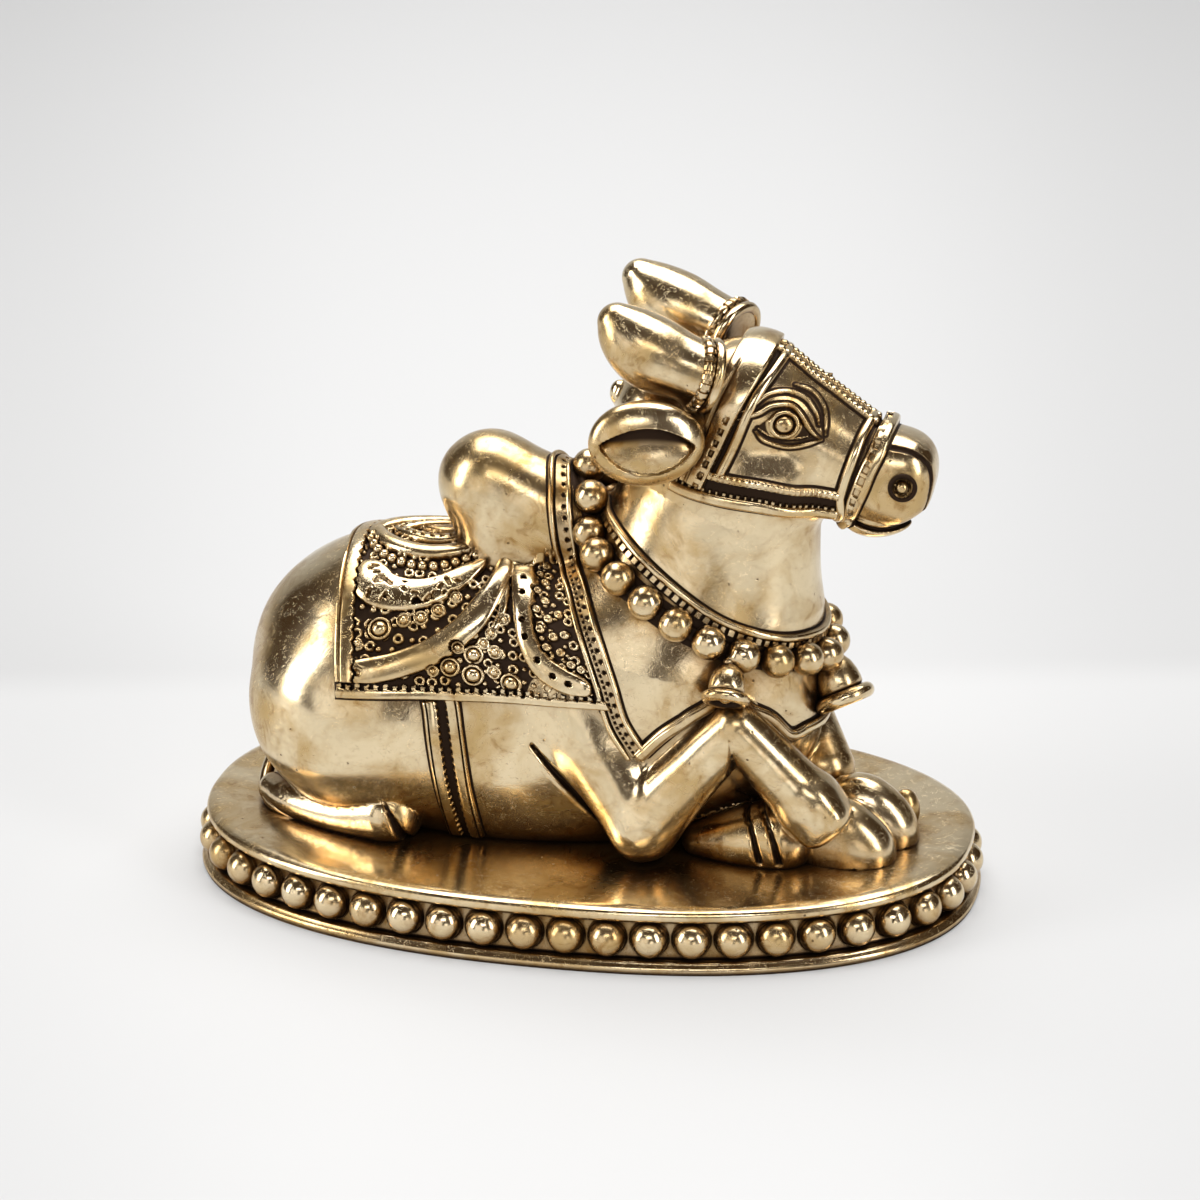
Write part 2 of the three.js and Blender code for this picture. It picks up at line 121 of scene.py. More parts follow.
def smooth_cut(a, b, blend):
    return -smooth_min(-a, b, blend)


class Solid:
    """Forms joined and cut in order. It can be asked at a grid's three axes or at a list of points."""

    def __init__(self):
        self.steps, self.low, self.high = [], np.full(3, np.inf), np.full(3, -np.inf)
        self.grooves = []

    def add(self, how, form, blend):
        value, low, high = form
        self.steps.append((how, value, low - REACH, high + REACH, blend))

    def join(self, form, blend=0.0):
        self.add(smooth_min, form, blend)
        self.low, self.high = np.minimum(self.low, form[1]), np.maximum(self.high, form[2])

    def cut(self, form, blend=0.0):
        self.add(smooth_cut, form, blend)

    def mark(self, form):
        self.add(lambda a, b, _: a + b, form, 0)

    def carve(self, form):
        """A groove, which is also kept to be darkened."""
        self.mark(form)
        self.grooves.append(form)

    def groove_tone(self, points):
        tone = np.zeros(len(points))
        for value, low, high in self.grooves:
            inside = np.all((points > low - REACH) & (points < high + REACH), axis=1)
            tone[inside] += value(*points[inside].T)
        return np.clip(tone / 0.55, 0, 1)

    def trim(self, value):
        self.add(lambda a, b, _: np.maximum(a, b), (value, -EVERYWHERE, EVERYWHERE), 0)

    def __call__(self, X, Y, Z):
        on_grid = X.ndim == 3
        field = np.full(np.broadcast_shapes(X.shape, Y.shape, Z.shape), FAR, X.dtype)
        for how, value, low, high, blend in self.steps:
            if on_grid:
                spans = [np.searchsorted(a.ravel(), (l, h)) for a, l, h in zip((X, Y, Z), low, high)]
                i, j, k = (slice(*span) for span in spans)
                where, here = (i, j, k), (X[i], Y[:, j], Z[:, :, k])
            else:
                inside = np.ones(len(X), bool)
                for a, l, h in zip((X, Y, Z), low, high):
                    inside &= (a > l) & (a < h)
                where = np.nonzero(inside)[0]
                here = (X[where], Y[where], Z[where])
            if field[where].size:
                field[where] = how(field[where], value(*here), blend)
        return field

    def form(self):
        return self, self.low, self.high


def at(solid, points):
    flat = points.reshape(-1, 3)
    return solid(flat[:, 0], flat[:, 1], flat[:, 2]).reshape(points.shape[:-1])


CORNERS = np.array([(1, -1, -1), (-1, -1, 1), (-1, 1, -1), (1, 1, 1)], float)


def slope(solid, points, step=0.06):
    """(the field, its gradient) at points, from the four corners of a small tetrahedron."""
    samples = [at(solid, points + corner * step) for corner in CORNERS]
    gradient = sum(s[..., None] * corner for s, corner in zip(samples, CORNERS)) / (4 * step)
    return sum(samples) / 4, gradient


def unit(vectors):
    return vectors / np.maximum(np.linalg.norm(vectors, axis=-1, keepdims=True), 1e-12)


def settle(solid, points, rounds=3):
    """Points moved onto the solid's surface."""
    for _ in range(rounds):
        value, gradient = slope(solid, points)
        size = np.maximum((gradient ** 2).sum(-1, keepdims=True), 0.2)
        points = points - gradient * np.clip(value, -3, 3)[..., None] / size
    return points


def cast(solid, ray, low, high):
    """Points where rays leave the solid, by halving. ray(reach) gives a point on each."""
    for _ in range(13):
        middle = (low + high) / 2
        inside = at(solid, ray(middle)) < 0
        low, high = np.where(inside, middle, low), np.where(inside, high, middle)
    return ray((low + high) / 2)


def nets(solid, low, high, cell):
    """The solid's surface inside a box, as points and quads, from a grid of cells."""
    axes = [np.arange(l, h, cell, dtype=np.float32) for l, h in zip(low, high)]
    field = solid(axes[0][:, None, None], axes[1][None, :, None], axes[2][None, None, :])
    full = field < 0
    shape = np.array(field.shape) - 1

    def corner(i, j, k):
        return full[i:shape[0] + i, j:shape[1] + j, k:shape[2] + k]
    count = sum(corner(i, j, k).astype(np.int8) for i in (0, 1) for j in (0, 1) for k in (0, 1))
    cells = np.stack(np.nonzero((count > 0) & (count < 8)), -1)
    number = np.full(shape, -1, np.int64)
    number[tuple(cells.T)] = np.arange(len(cells))
    total, hits = np.zeros((len(cells), 3)), np.zeros(len(cells))
    for axis in range(3):
        others = [a for a in range(3) if a != axis]
        for first in (0, 1):
            for second in (0, 1):
                start = cells.copy()
                start[:, others[0]] += first
                start[:, others[1]] += second
                end = start.copy()
                end[:, axis] += 1
                a, b = field[tuple(start.T)].astype(float), field[tuple(end.T)].astype(float)
                crossed = (a < 0) != (b < 0)
                share = np.where(crossed, a / np.where(crossed, a - b, 1), 0)
                place = start + share[:, None] * (end - start)
                total += np.where(crossed[:, None], place, 0)
                hits += crossed
    points = np.array(low) + total / hits[:, None] * cell
    quads = []
    for axis in range(3):
        b, c = (axis + 1) % 3, (axis + 2) % 3
        inner = [slice(1, -1)] * 3
        before, after = list(inner), list(inner)
        before[axis], after[axis] = slice(None, -1), slice(1, None)
        edge = np.stack(np.nonzero(full[tuple(before)] != full[tuple(after)]), -1)
        edge += np.array([0 if a == axis else 1 for a in range(3)])
        ring = []
        for back_b, back_c in ((1, 1), (0, 1), (0, 0), (1, 0)):
            place = edge.copy()
            place[:, b] -= back_b
            place[:, c] -= back_c
            ring.append(number[tuple(place.T)])
        quad = np.stack(ring, -1)
        outward = full[tuple(edge.T)]
        quads.append(np.where(outward[:, None], quad, quad[:, ::-1]))
    return points, np.concatenate(quads)


# Shapes: (points, list of face arrays, darkness of each point from 0 clean to 1 dark, which also carries
# painted shade on the necklace's string and along the edges of bands)

def merged(shapes):
    points, faces, dark, count = [], [], [], 0
    for p, f, d in shapes:
        points.append(p)
        faces += [array + count for array in f]
        dark.append(d)
        count += len(p)
    return np.concatenate(points), faces, np.concatenate(dark)


def mirrored(shape):
    points, faces, dark = shape
    return points * (1, -1, 1), [array[:, ::-1] for array in faces], dark


def both_sides(shape):
    return merged([shape, mirrored(shape)])


def patches(grid):
    """The quads between neighbours in a grid of point numbers."""
    return np.stack([grid[:-1, :-1], grid[:-1, 1:], grid[1:, 1:], grid[1:, :-1]], -1).reshape(-1, 4)


def stacked_rings(count, sides):
    """The faces of a skin over rings of points, with a flat face at each end."""
    grid = np.arange(count * sides).reshape(count, sides)
    loop = np.concatenate([grid, grid[:, :1]], 1)
    return [patches(loop), grid[:1, ::-1], grid[-1:]]


def sheet(top, under, dark, closed=False):
    """A closed mesh from rows of points, the two lower edges of the rows, and how dark each point is."""
    rows, columns = top.shape[:2]
    grid = np.arange(rows * columns).reshape(rows, columns)
    left = rows * columns + np.arange(rows)
    right = left + rows
    if closed:
        grid, left, right = (np.concatenate([a, a[:1]]) for a in (grid, left, right))
    faces = [
        patches(grid.T),
        np.stack([left[:-1], left[1:], grid[1:, 0], grid[:-1, 0]], -1),
        np.stack([right[1:], right[:-1], grid[:-1, -1], grid[1:, -1]], -1),
        np.stack([left[:-1], right[:-1], right[1:], left[1:]], -1),
    ]
    if not closed:
        faces.append(np.concatenate([left[:1], grid[0], right[:1]])[None, :])
        faces.append(np.concatenate([right[-1:], grid[-1, ::-1], left[-1:]])[None, :])
    points = np.concatenate([top.reshape(-1, 3), under[:, 0], under[:, 1]])
    return points, faces, np.concatenate([dark.ravel(), np.ones(2 * rows)])


def curve(points, closed=False, detail=24):
    """A smooth line through points."""
    points = np.array(points, float)
    if closed:
        padded = np.concatenate([points[-1:], points, points[:2]])
    else:
        padded = np.concatenate([2 * points[:1] - points[1:2], points, 2 * points[-1:] - points[-2:-1]])
    t = np.linspace(0, 1, detail, endpoint=False)[:, None]
    spans = []
    for a, b, c, d in zip(padded, padded[1:], padded[2:], padded[3:]):
        spans.append(b + t * (c - a + t * (2 * a - 5 * b + 4 * c - d + t * (3 * (b - c) + d - a))) / 2)
    line = np.concatenate(spans)
    return np.concatenate([line, line[:1] if closed else points[-1:]])


def even(line, step):
    """(points at equal steps along a line, the length along it)."""
    along = np.concatenate([[0], np.cumsum(np.linalg.norm(np.diff(line, axis=0), axis=1))])
    count = max(2, round(along[-1] / step) + 1)
    places = np.linspace(0, along[-1], count)
    return np.stack([np.interp(places, along, line[:, i]) for i in range(line.shape[1])], -1), along[-1]


def step_up(value, low, high):
    share = np.clip((value - low) / (high - low), 0, 1)
    return share * share * (3 - 2 * share)


def dome(distance, half):
    """A round hill: 1 at distance 0 and 0 from half on."""
    return np.sqrt(np.maximum(1 - (distance / half) ** 2, 0))


BAND_DEPTH = 1.2     # how far the lower edges of a band lie inside the ground
GUTTER = 0.45        # width of the dark line along both edges of a band: patina and painted shade where the band meets the skin


def band(ground, path, width, relief, columns, step=0.3, closed=False, low=0.3, high=0.9):
    """A strip laid on the ground along a path, dark below the height low and clean above the height high.

    relief(along, across, length) gives the height. width is in mm, or a function of the share along it.
    """
    line = settle(ground, even(curve(path, closed), 1.0)[0])
    centre, length = even(curve(line[:-1] if closed else line, closed, 6), step)
    if closed:
        centre = centre[:-1]
    centre = settle(ground, centre, 2)
    if closed:
        along_way = np.roll(centre, -2, axis=0) - np.roll(centre, 2, axis=0)
    else:
        along_way = np.gradient(centre, axis=0)
    normal = unit(slope(ground, centre)[1])
    for _ in range(4):
        before, after = (normal[-1:], normal[:1]) if closed else (normal[:1], normal[-1:])
        padded = np.concatenate([before, normal, after])
        normal = unit(padded[:-2] + padded[1:-1] + padded[2:])
    across_way = unit(np.cross(normal, unit(along_way)))
    along = np.linspace(0, length, len(centre), endpoint=not closed)[:, None]
    half = (width(along / length) if callable(width) else width + 0 * along) / 2
    inner = half * np.linspace(-1, 1, columns)
    across = np.concatenate([-half - GUTTER, -half - 0.06, inner, half + 0.06, half + GUTTER], 1)
    base = settle(ground, centre[:, None] + across[..., None] * across_way[:, None])
    height = np.broadcast_to(relief(along, across, length), base.shape[:2])
    height = np.where(np.abs(across) > half + 0.01, 0.04, height)
    if not closed:
        height = height * step_up(np.minimum(along, length - along), -0.1, 0.8)
    outward = unit(slope(ground, base)[1])
    top = base + outward * height[..., None]
    under = (base - outward * BAND_DEPTH)[:, [0, -1]]
    return sheet(top, under, 1 - step_up(height, low, high), closed)


def lathe(profile, segments=28, dark=None):
    """A shape turned about Z from (radius, height) pairs that start and end on the axis."""
    profile = np.array(profile, float)
    turns = np.arange(segments) * 2 * math.pi / segments
    rings = profile[1:-1]
    points = np.stack([
        rings[:, None, 0] * np.cos(turns), rings[:, None, 0] * np.sin(turns),
        np.broadcast_to(rings[:, None, 1], (len(rings), segments)),
    ], -1).reshape(-1, 3)
    ends = np.array([[0, 0, profile[0, 1]], [0, 0, profile[-1, 1]]])
    grid = np.arange(len(rings) * segments).reshape(len(rings), segments)
    grid = np.concatenate([grid, grid[:, :1]], 1)
    first, last = len(points), len(points) + 1
    faces = [
        patches(grid),
        np.stack([grid[0, 1:], grid[0, :-1], np.full(segments, first)], -1),
        np.stack([grid[-1, :-1], grid[-1, 1:], np.full(segments, last)], -1),
    ]
    shade = np.zeros(len(profile)) if dark is None else np.array(dark, float)
    tone = np.concatenate([np.repeat(shade[1:-1], segments), shade[[0, -1]]])
    return np.concatenate([points, ends]), faces, tone


def moved(shape, place, turn=None, size=1.0):
    points, faces, dark = shape
    points = points * size
    if turn is not None:
        points = points @ np.array(turn).T
    return points + place, faces, dark


def ball(segments=20, rings=12):
    angles = np.linspace(-math.pi / 2, math.pi / 2, rings + 1)
    profile = np.stack([np.cos(angles), np.sin(angles)], -1)
    profile[[0, -1], 0] = 0
    return lathe(profile, segments)


def balls(places, radius, segments=20, rings=12):
    shape = ball(segments, rings)
    return merged([moved(shape, place, size=radius) for place in places])


def tube(path, radius, sides=12, step=0.6):
    """A round rope with tapered ends along a path."""
    line, length = even(curve(path), step)
    way = unit(np.gradient(line, axis=0))
    side = unit(np.cross(way, (0, 0, 1)))
    lift = np.cross(side, way)
    turns = np.arange(sides) * 2 * math.pi / sides
    along = np.linspace(0, length, len(line))
    size = radius * np.sqrt(np.clip(np.minimum(along, length - along) / radius, 0.02, 1))
    ring = side[:, None] * np.cos(turns)[:, None] + lift[:, None] * np.sin(turns)[:, None]
    points = (line[:, None] + ring * size[:, None, None]).reshape(-1, 3)
    return points, stacked_rings(len(line), sides), np.zeros(len(points))


def hoop(centre, way, radius, thickness, count=120, sides=10):
    """A ring about way. thickness is the radius of its wire, or a function of the turn."""
    way = unit(np.array(way, float))
    first = unit(np.cross(way, (0, 1, 0)) if abs(way[1]) < 0.9 else np.cross(way, (1, 0, 0)))
    second = np.cross(way, first)
    turns = np.arange(count) * 2 * math.pi / count
    out = first * np.cos(turns)[:, None] + second * np.sin(turns)[:, None]
    around = np.arange(sides) * 2 * math.pi / sides
    wire = thickness(turns) if callable(thickness) else np.full(count, thickness)
    wire = wire[:, None, None]
    points = np.array(centre) + out[:, None] * radius + wire * (
        out[:, None] * np.cos(around)[:, None] + way * np.sin(around)[:, None])
    grid = np.arange(count * sides).reshape(count, sides)
    grid = np.concatenate([grid, grid[:1]])
    grid = np.concatenate([grid, grid[:, :1]], 1)
    low = np.broadcast_to(1 - step_up(wire[:, :, 0], wire.min(), wire.max() + 1e-6), (count, sides))
    return points.reshape(-1, 3), [patches(grid.T)], (low * 0.9).ravel()


# Objects

def placed(name, data):
    thing = bpy.data.objects.new(name, data)
    bpy.context.scene.collection.objects.link(thing)
    return thing


def add_piece(name, shape, material, node="nandi_bull", crease=50, normals=None):
    points, faces, dark = shape
    mesh = bpy.data.meshes.new(name)
    mesh.vertices.add(len(points))
    mesh.vertices.foreach_set("co", (points * MM).astype(np.float32).ravel())
    corners = np.concatenate([f.ravel() for f in faces])
    sizes = np.concatenate([np.full(len(f), f.shape[1]) for f in faces])
    mesh.loops.add(len(corners))
    mesh.loops.foreach_set("vertex_index", corners.astype(np.int32))
    mesh.polygons.add(len(sizes))
    mesh.polygons.foreach_set("loop_start", np.concatenate([[0], np.cumsum(sizes)[:-1]]).astype(np.int32))
    mesh.polygons.foreach_set("use_smooth", np.ones(len(sizes), bool))
    mesh.update(calc_edges=True)
    mesh.attributes.new("dark", "FLOAT", "POINT").data.foreach_set("value", dark.astype(np.float32))
    if normals is None:
        mesh.set_sharp_from_angle(angle=math.radians(crease))
    else:
        mesh.normals_split_custom_set_from_vertices(normals)
    mesh.materials.append(material)
    piece = placed(name, mesh)
    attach(piece, "root")
    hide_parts(node)


# The bull's forms

SIDES = (-1, 1)


def torso(hump=True):
    solid = Solid()
    solid.join(block((-22, 0, 40), (41.5, 24, 26.5)))
    solid.join(block((-12, 0, 25), (47.5, 23.5, 21)), 8)
    solid.join(block((-41, 0, 37.5), (23, 25, 25.5)), 8)
    for side in SIDES:
        solid.join(block((-40, side * 14, 33), (22, 14.5, 18.5), tilt=8), 6)
        solid.join(block((8, side * 11, 42), (19, 13.5, 22), tilt=-10), 8)
    solid.join(block((23.5, 0, 40), (23, 20, 25)), 10)
    solid.join(rod((19, 0, 56), (27.5, 0, 83), 24, 18, flat=0.86), 9)
    solid.join(rod((31, 0, 60), (32, 0, 76), 13.2, 11.5, flat=1.1), 8)
    solid.join(block((-6.5, 0, 71), (12, 9.5, 10), tilt=12), 4)
    if hump:
        solid.join(rod((-12.5, 0, 62), (-17.8, 0, 77.5), 10.6, 9.8, flat=0.92), 2)
        solid.join(rod((-17.8, 0, 77.5), (-4.5, 0, 72.7), 9.8, 9.3), 2)
    return solid


def score(line, width, depth, side=0, above=0):
    """A groove along a line of (x, z) points seen from the side, thin and shallow where it starts."""
    line = curve(line, detail=5)
    low = np.array([line[:, 0].min() - 3 * width + REACH, -40, line[:, 1].min() - 3 * width + REACH])
    high = np.array([line[:, 0].max() + 3 * width - REACH, 40, line[:, 1].max() + 3 * width - REACH])
    widths = width * np.linspace(0.3, 1, len(line) - 1)

    def value(X, Y, Z):
        nearest = np.full(np.broadcast_shapes(X.shape, Z.shape), 1e6)
        for (ax, az), (bx, bz), wide in zip(line, line[1:], widths):
            dx, dz = bx - ax, bz - az
            share = np.clip(((X - ax) * dx + (Z - az) * dz) / (dx * dx + dz * dz), 0, 1)
            away = (X - ax - share * dx) ** 2 + (Z - az - share * dz) ** 2
            nearest = np.minimum(nearest, away / wide ** 2 + 1 - wide / width)
        hit = depth * np.exp(-nearest)
        if side:
            hit = hit * (side * Y > above)
        return hit + 0 * Y
    return value, low, high


def limb(joints, detail=1):
    """Rods end to end through joints of (place, radius), in a smooth line where detail is above 1."""
    line = np.array([(*place, radius) for place, radius in joints], float)
    if detail > 1:
        line = curve(line, detail=detail)
    solid = Solid()
    for start, end in zip(line, line[1:]):
        solid.join(rod(start[:3], end[:3], start[3], end[3]))
    return solid


def trench(solid, joints):
    """A crisp dark groove along a line through joints of (place, radius)."""
    line = limb(joints, detail=4)
    solid.cut(line.form(), 0.2)

    def tone(X, Y, Z):
        return np.clip(0.5 - line(X, Y, Z), 0, 1)
    solid.grooves.append((tone, line.low, line.high))


# Side, end of the shin and radius there
FORELEGS = ((-1, (46.2, -19.6, 26.2), 6.0), (1, (45.3, 4, 22.5), 6.2))
FOLDED_FOOT = [((25.5, -16.6, 15.1), 3.4), ((33, -16.3, 15.8), 5.8), ((40.5, -15.8, 16.6), 7.3)]
HIND_LEG = [
    ((-60, 10, 15), 3.2), ((-55, 14.2, 15), 3.6), ((-46, 18.4, 15), 3.9), ((-40, 19.8, 15.6), 4.9),
    ((-33.8, 20.4, 16.8), 6.4),
]
# Place, radii and tilt
HOOVES = [((52.4, -12.9, 14.2), (10, 6.5, 9), 42), ((54.8, -4.3, 14.8), (10.6, 5.9, 9.6), 44)]
FOOT_LINE = [(32.4, 25), (35, 22), (36.8, 18.6), (38, 14)]
FOOT_LINE_STEPS = (0, 3.8)
KNEE_LINE = [(33.2, 39.6), (33.3, 35.4), (33.3, 32)]
HIND_TOE_LINE = [(-34.2, 21.6), (-32.8, 19.6), (-31.4, 17), (-30.2, 13.3)]
FLANK_LINE = [(-4.8, 34.5), (-1.6, 30.4), (3, 25.2), (7, 20.6), (10, 16.4), (12.4, 12)]
CREASE = 0.15     # how far the skin stands off from a limb that lies on it


def legs(solid):
    for side, shin_end, ankle in FORELEGS:
        elbow, knee = (15.5, side * 22, 20), (33.4, side * 21.3, 40.6)
        lying = limb([((24, side * 21.7, 30), 6.2), (knee, 4.9), (shin_end, ankle)])
        solid.cut(grown(lying.form(), CREASE), 0.4)
        leg = limb([(elbow, 7.3), (knee, 4.9), (shin_end, ankle)])
        leg.join(rod((0.5, side * 15.5, 43), elbow, 9.5, 7.3), 1.4)
        solid.join(leg.form(), 1.8)
    solid.join(block((48.1, -19.6, 24.1), (5.8, 5.8, 5.8), power=3.2, tilt=48.4), 2)
    solid.join(limb(FOLDED_FOOT, detail=14).form(), 0.3)
    for place, radii, tilt in HOOVES:
        solid.join(block(place, radii, power=2.3, tilt=tilt), 0.3)
    solid.join(block((61.6, 3, 15.6), (2.8, 2.8, 4.5)), 0.3)
    for shift in FOOT_LINE_STEPS:
        solid.carve(score([(x + shift, z) for x, z in FOOT_LINE], 0.6, 1.3, -1, 12))
    solid.carve(score(KNEE_LINE, 0.5, 1.0, -1, 22))
    for side in SIDES:
        foot = limb([((x, side * y, z), radius) for (x, y, z), radius in HIND_LEG], detail=12)
        solid.join(foot.form(), 0.25)
        solid.carve(score(HIND_TOE_LINE, 0.7, 1.6, side, 21))
        solid.carve(score(FLANK_LINE, 1.3, 2.1, side, 12))


def bull_body():
    solid = torso()
    legs(solid)
    return solid


def skull():
    """The head and neck without horns and ears."""
    solid = torso()
    head = Solid()
    head.join(rod((33.5, 0, 95.5), (54, 0, 85.5), 12.6, 9))
    head.join(block((31, 0, 96), (12.5, 13, 12.5)), 3)
    head.join(block((36, 0, 84.5), (10.5, 12.8, 6.6), power=2.8), 3)
    head.join(block((46, 0, 82.6), (8, 9.2, 5.8), power=2.8), 2)
    head.join(block((15.5, 0, 95.5), (9, 11, 8)), 4)
    for side in SIDES:
        head.join(block((23.6, side * 11.4, 103.8), (3.2, 5.4, 5.2)), 2)
    head.join(block((58.4, 0, 84.3), (8.3, 9, 9.2), power=2.5, tilt=14), 0.8)
    solid.join(head.form(), 3)
    solid.join(block((56.2, 0, 76.4), (6.9, 6.6, 3.9), tilt=-4), 0.3)
    return solid


# Place and radius along a horn, the point where its root is cut off, and its direction there
HORN = [
    ((25.4, 13, 105.9), 5.7), ((20.5, 13.2, 107.7), 6.3), ((16, 13.4, 109.7), 6.9),
    ((12.6, 13.6, 112.2), 5.9), ((9.9, 14, 115.3), 3.6),
]
HORN_ROOT, HORN_WAY = (27, 11.8, 105.3), (-0.86, 0.4, 0.3)
FAR_HORN_LEAN = 1.8      # how much further back the far horn's tip is
EAR_AT = (17, 22.3, 95.4)
EAR_SIZE = (10.6, 4.3, 8.1)
EAR_TILT, EAR_YAW = 3, 18
NOSTRIL_AT = (61.8, 9.1, 85.1)
MUZZLE_EDGE = [
    (59.1, 6.3, 92), (62.9, 5.8, 91), (65.8, 4.9, 88.5), (66.5, 4.4, 85.3), (65.9, 3.4, 81.1),
    (64.8, 3.2, 78.7),
]
MOUTH_LINE = [(47, 77.8), (52.4, 76.6), (56.5, 75.6), (60.5, 75.7), (64.5, 77.4)]


def beside(place, side):
    return np.array(place) * (1, side, 1)


def horn(side):
    shift = np.linspace(0, 1, len(HORN)) ** 2 * (FAR_HORN_LEAN if side > 0 else 0)
    joints = []
    for (place, radius), back in zip(HORN, shift):
        joints.append((beside(place, side) - (back, 0, 0), radius))
    solid = limb(joints, detail=14)
    root, way = beside(HORN_ROOT, side), beside(HORN_WAY, side)
    solid.trim(lambda X, Y, Z: way[0] * (root[0] - X) + way[1] * (root[1] - Y) + way[2] * (root[2] - Z))
    return solid


def ear_hollow(side):
    """The hollow of an ear: steep under its upper edge, and running out towards its lower edge."""
    turn, middle = turned(EAR_TILT, -side * EAR_YAW), beside(EAR_AT, side)

    def value(X, Y, Z):
        x, y, z = X - middle[0], Y - middle[1], Z - middle[2]
        along, out, up = (turn[0, i] * x + turn[1, i] * y + turn[2, i] * z for i in range(3))
        arch = np.maximum(1 - (along / 9) ** 2, 0)
        top, bottom = 3.9 * arch ** 0.9, -5.7 * arch ** 0.8
        fall = np.clip((up - bottom) / np.maximum((top - bottom) * 0.85, 0.01), 0, 1)
        edge = step_up(top - up, 0, 0.6) * step_up(up - bottom, 0, 0.9)
        return edge * (0.9 + 2.1 * fall ** 1.3) * step_up(arch, 0, 0.2) * (side * out > 0)
    return value, middle - 2, middle + 2


def deep_part(hollow):
    """What is dark of a hollow: the part that is over 1.8 mm deep."""
    return lambda X, Y, Z: 0.55 * np.maximum(hollow(X, Y, Z) - 1.8, 0)


def bull_head():
    solid = skull()
    solid.carve(score(MOUTH_LINE, 0.8, 1.7))
    for side in SIDES:
        trench(solid, [(beside(place, side), 0.55) for place in MUZZLE_EDGE])
        solid.join(horn(side).form(), 1.2)
        solid.join(block(beside(EAR_AT, side), EAR_SIZE, tilt=EAR_TILT, yaw=-side * EAR_YAW), 0.6)
        hollow, low, high = ear_hollow(side)
        solid.mark((hollow, low, high))
        solid.grooves.append((deep_part(hollow), low, high))
        solid.join(rod((24, side * 10, 96), (21.5, side * 18.4, 95.6), 3.8, 3), 1.5)
        nostril = beside(NOSTRIL_AT, side)
        solid.cut(block(nostril, (1.9, 1.9, 1.9)), 0.3)
        solid.join(block(nostril - (0.3, side * 1.2, 0.2), (1.35, 1.35, 1.35)), 0.1)
    solid.join(block((7.6, -2, 97.6), (2, 2, 2.6)), 0.5)
    return solid


SEAM = [
    (-1.5, 120), (1.5, 82), (3.2, 79.4), (5.5, 76.3), (8.9, 73.8), (12, 71.6), (15.9, 69), (20.3, 65.9),
    (25.1, 62.7), (29.8, 59.9), (34.9, 57.3), (39.7, 55.3), (43.5, 54), (50, 52.8),
]


def collar_height(X):
    """The height of the seam between body and head, which the collar covers."""
    return np.interp(X, *zip(*SEAM))


def uneven(solid, amount=0.09):
    """The slow waves that hand finishing leaves."""
    def value(X, Y, Z):
        return amount * (np.sin(X / 4.1 + 1.7 * np.sin(Z / 6.3)) * np.sin(Z / 3.7 + 0.6 * X / 5)
                         + np.sin(Y / 3.3 + X / 7) * np.sin(Z / 5.1))
    solid.mark((value, -EVERYWHERE, EVERYWHERE))
    return solid


def brass_bull(material):
    body = uneven(bull_body())
    body.trim(lambda X, Y, Z: Z - collar_height(X) - 0.3)
    body.trim(lambda X, Y, Z: PLATE_TOP - SINK - Z)
    head = uneven(bull_head())
    head.trim(lambda X, Y, Z: collar_height(X) - 0.9 - Z)
    for name, solid, low, high, cell in (
        ("bull_body", body, (-68, -36, 10), (69, 36, 90), 0.7),
        ("bull_head", head, (-8, -31, 50), (69, 31, 121), 0.46),
    ):
        points, quads = nets(solid, low, high, cell)
        points = settle(solid, points, 2)
        normals = unit(slope(solid, points)[1])
        tone = solid.groove_tone(points)
        add_piece(name, (points, [quads], tone), material, normals=normals)


# Saddle cloth: its pattern is drawn in (x, height up the cloth from its lower edge's level)

CLOTH_FOOT = [(-43, -0.9), (-27, -0.4), (-12, 0.8), (10, 4.4)]
HUMP_FOOT = [(-14.5, 32), (-11, 32.4), (-8.7, 34), (-6.2, 36.5), (-5, 39)]
LEAF = [(-38.6, 23.4), (-36, 20.6), (-31.4, 19.4), (-26.2, 20.6), (-21.4, 24.2), (-17, 29.4)]
CRESCENT = [(-41.4, 40), (-39.6, 35.6), (-36.4, 32.2), (-32.4, 30.2), (-28, 29.8), (-23.6, 31), (-18.6, 34)]
INNER_CRESCENT = [(-37.6, 40.5), (-35, 36.6), (-31.2, 34.4), (-27, 34.2), (-22.5, 36)]
TOP_CRESCENT = [(-33.6, 42), (-31, 39), (-27.4, 38), (-23.6, 38.8)]
BEAD_ARC = [
    (-40.8, 33.8), (-38, 29.8), (-34.6, 27.4), (-30.6, 26.2), (-26, 26.6), (-21.6, 28.8), (-17.6, 32.4),
]
REAR_SASH = [(-12.8, 36), (-13.2, 28), (-14.8, 21.4), (-18, 15), (-23.4, 9.6), (-30, 6), (-37.6, 3.9)]
MIDDLE_RIDGE = [(-12.8, 29.5), (-11.9, 24.6), (-11.9, 18.9), (-13.4, 14)]
FRONT_SASH = [
    (-10.6, 36), (-9.4, 31), (-8.4, 26), (-7.6, 20.6), (-5.9, 15.2), (-2.9, 11), (0.8, 9), (4.6, 8.2),
]
SASH_HOLES = [(-8.8, 28.4), (-8.2, 24.8), (-7.2, 19), (-6.2, 15.8), (-3.4, 11.8), (-0.2, 9.4), (2.9, 8.6)]
RING_DOTS = [
    (-6.4, 37.2), (-4.9, 34.6), (-6, 32), (-4.4, 29.6), (-5.6, 27), (-3.6, 24.8), (-5, 22.4), (-2.4, 20.9),
    (-3.8, 18.3), (-1, 17.4), (-2.2, 14.8), (0.7, 14.5), (2.9, 12.5), (1.2, 18.4), (-0.4, 22.4), (4.9, 12),
]
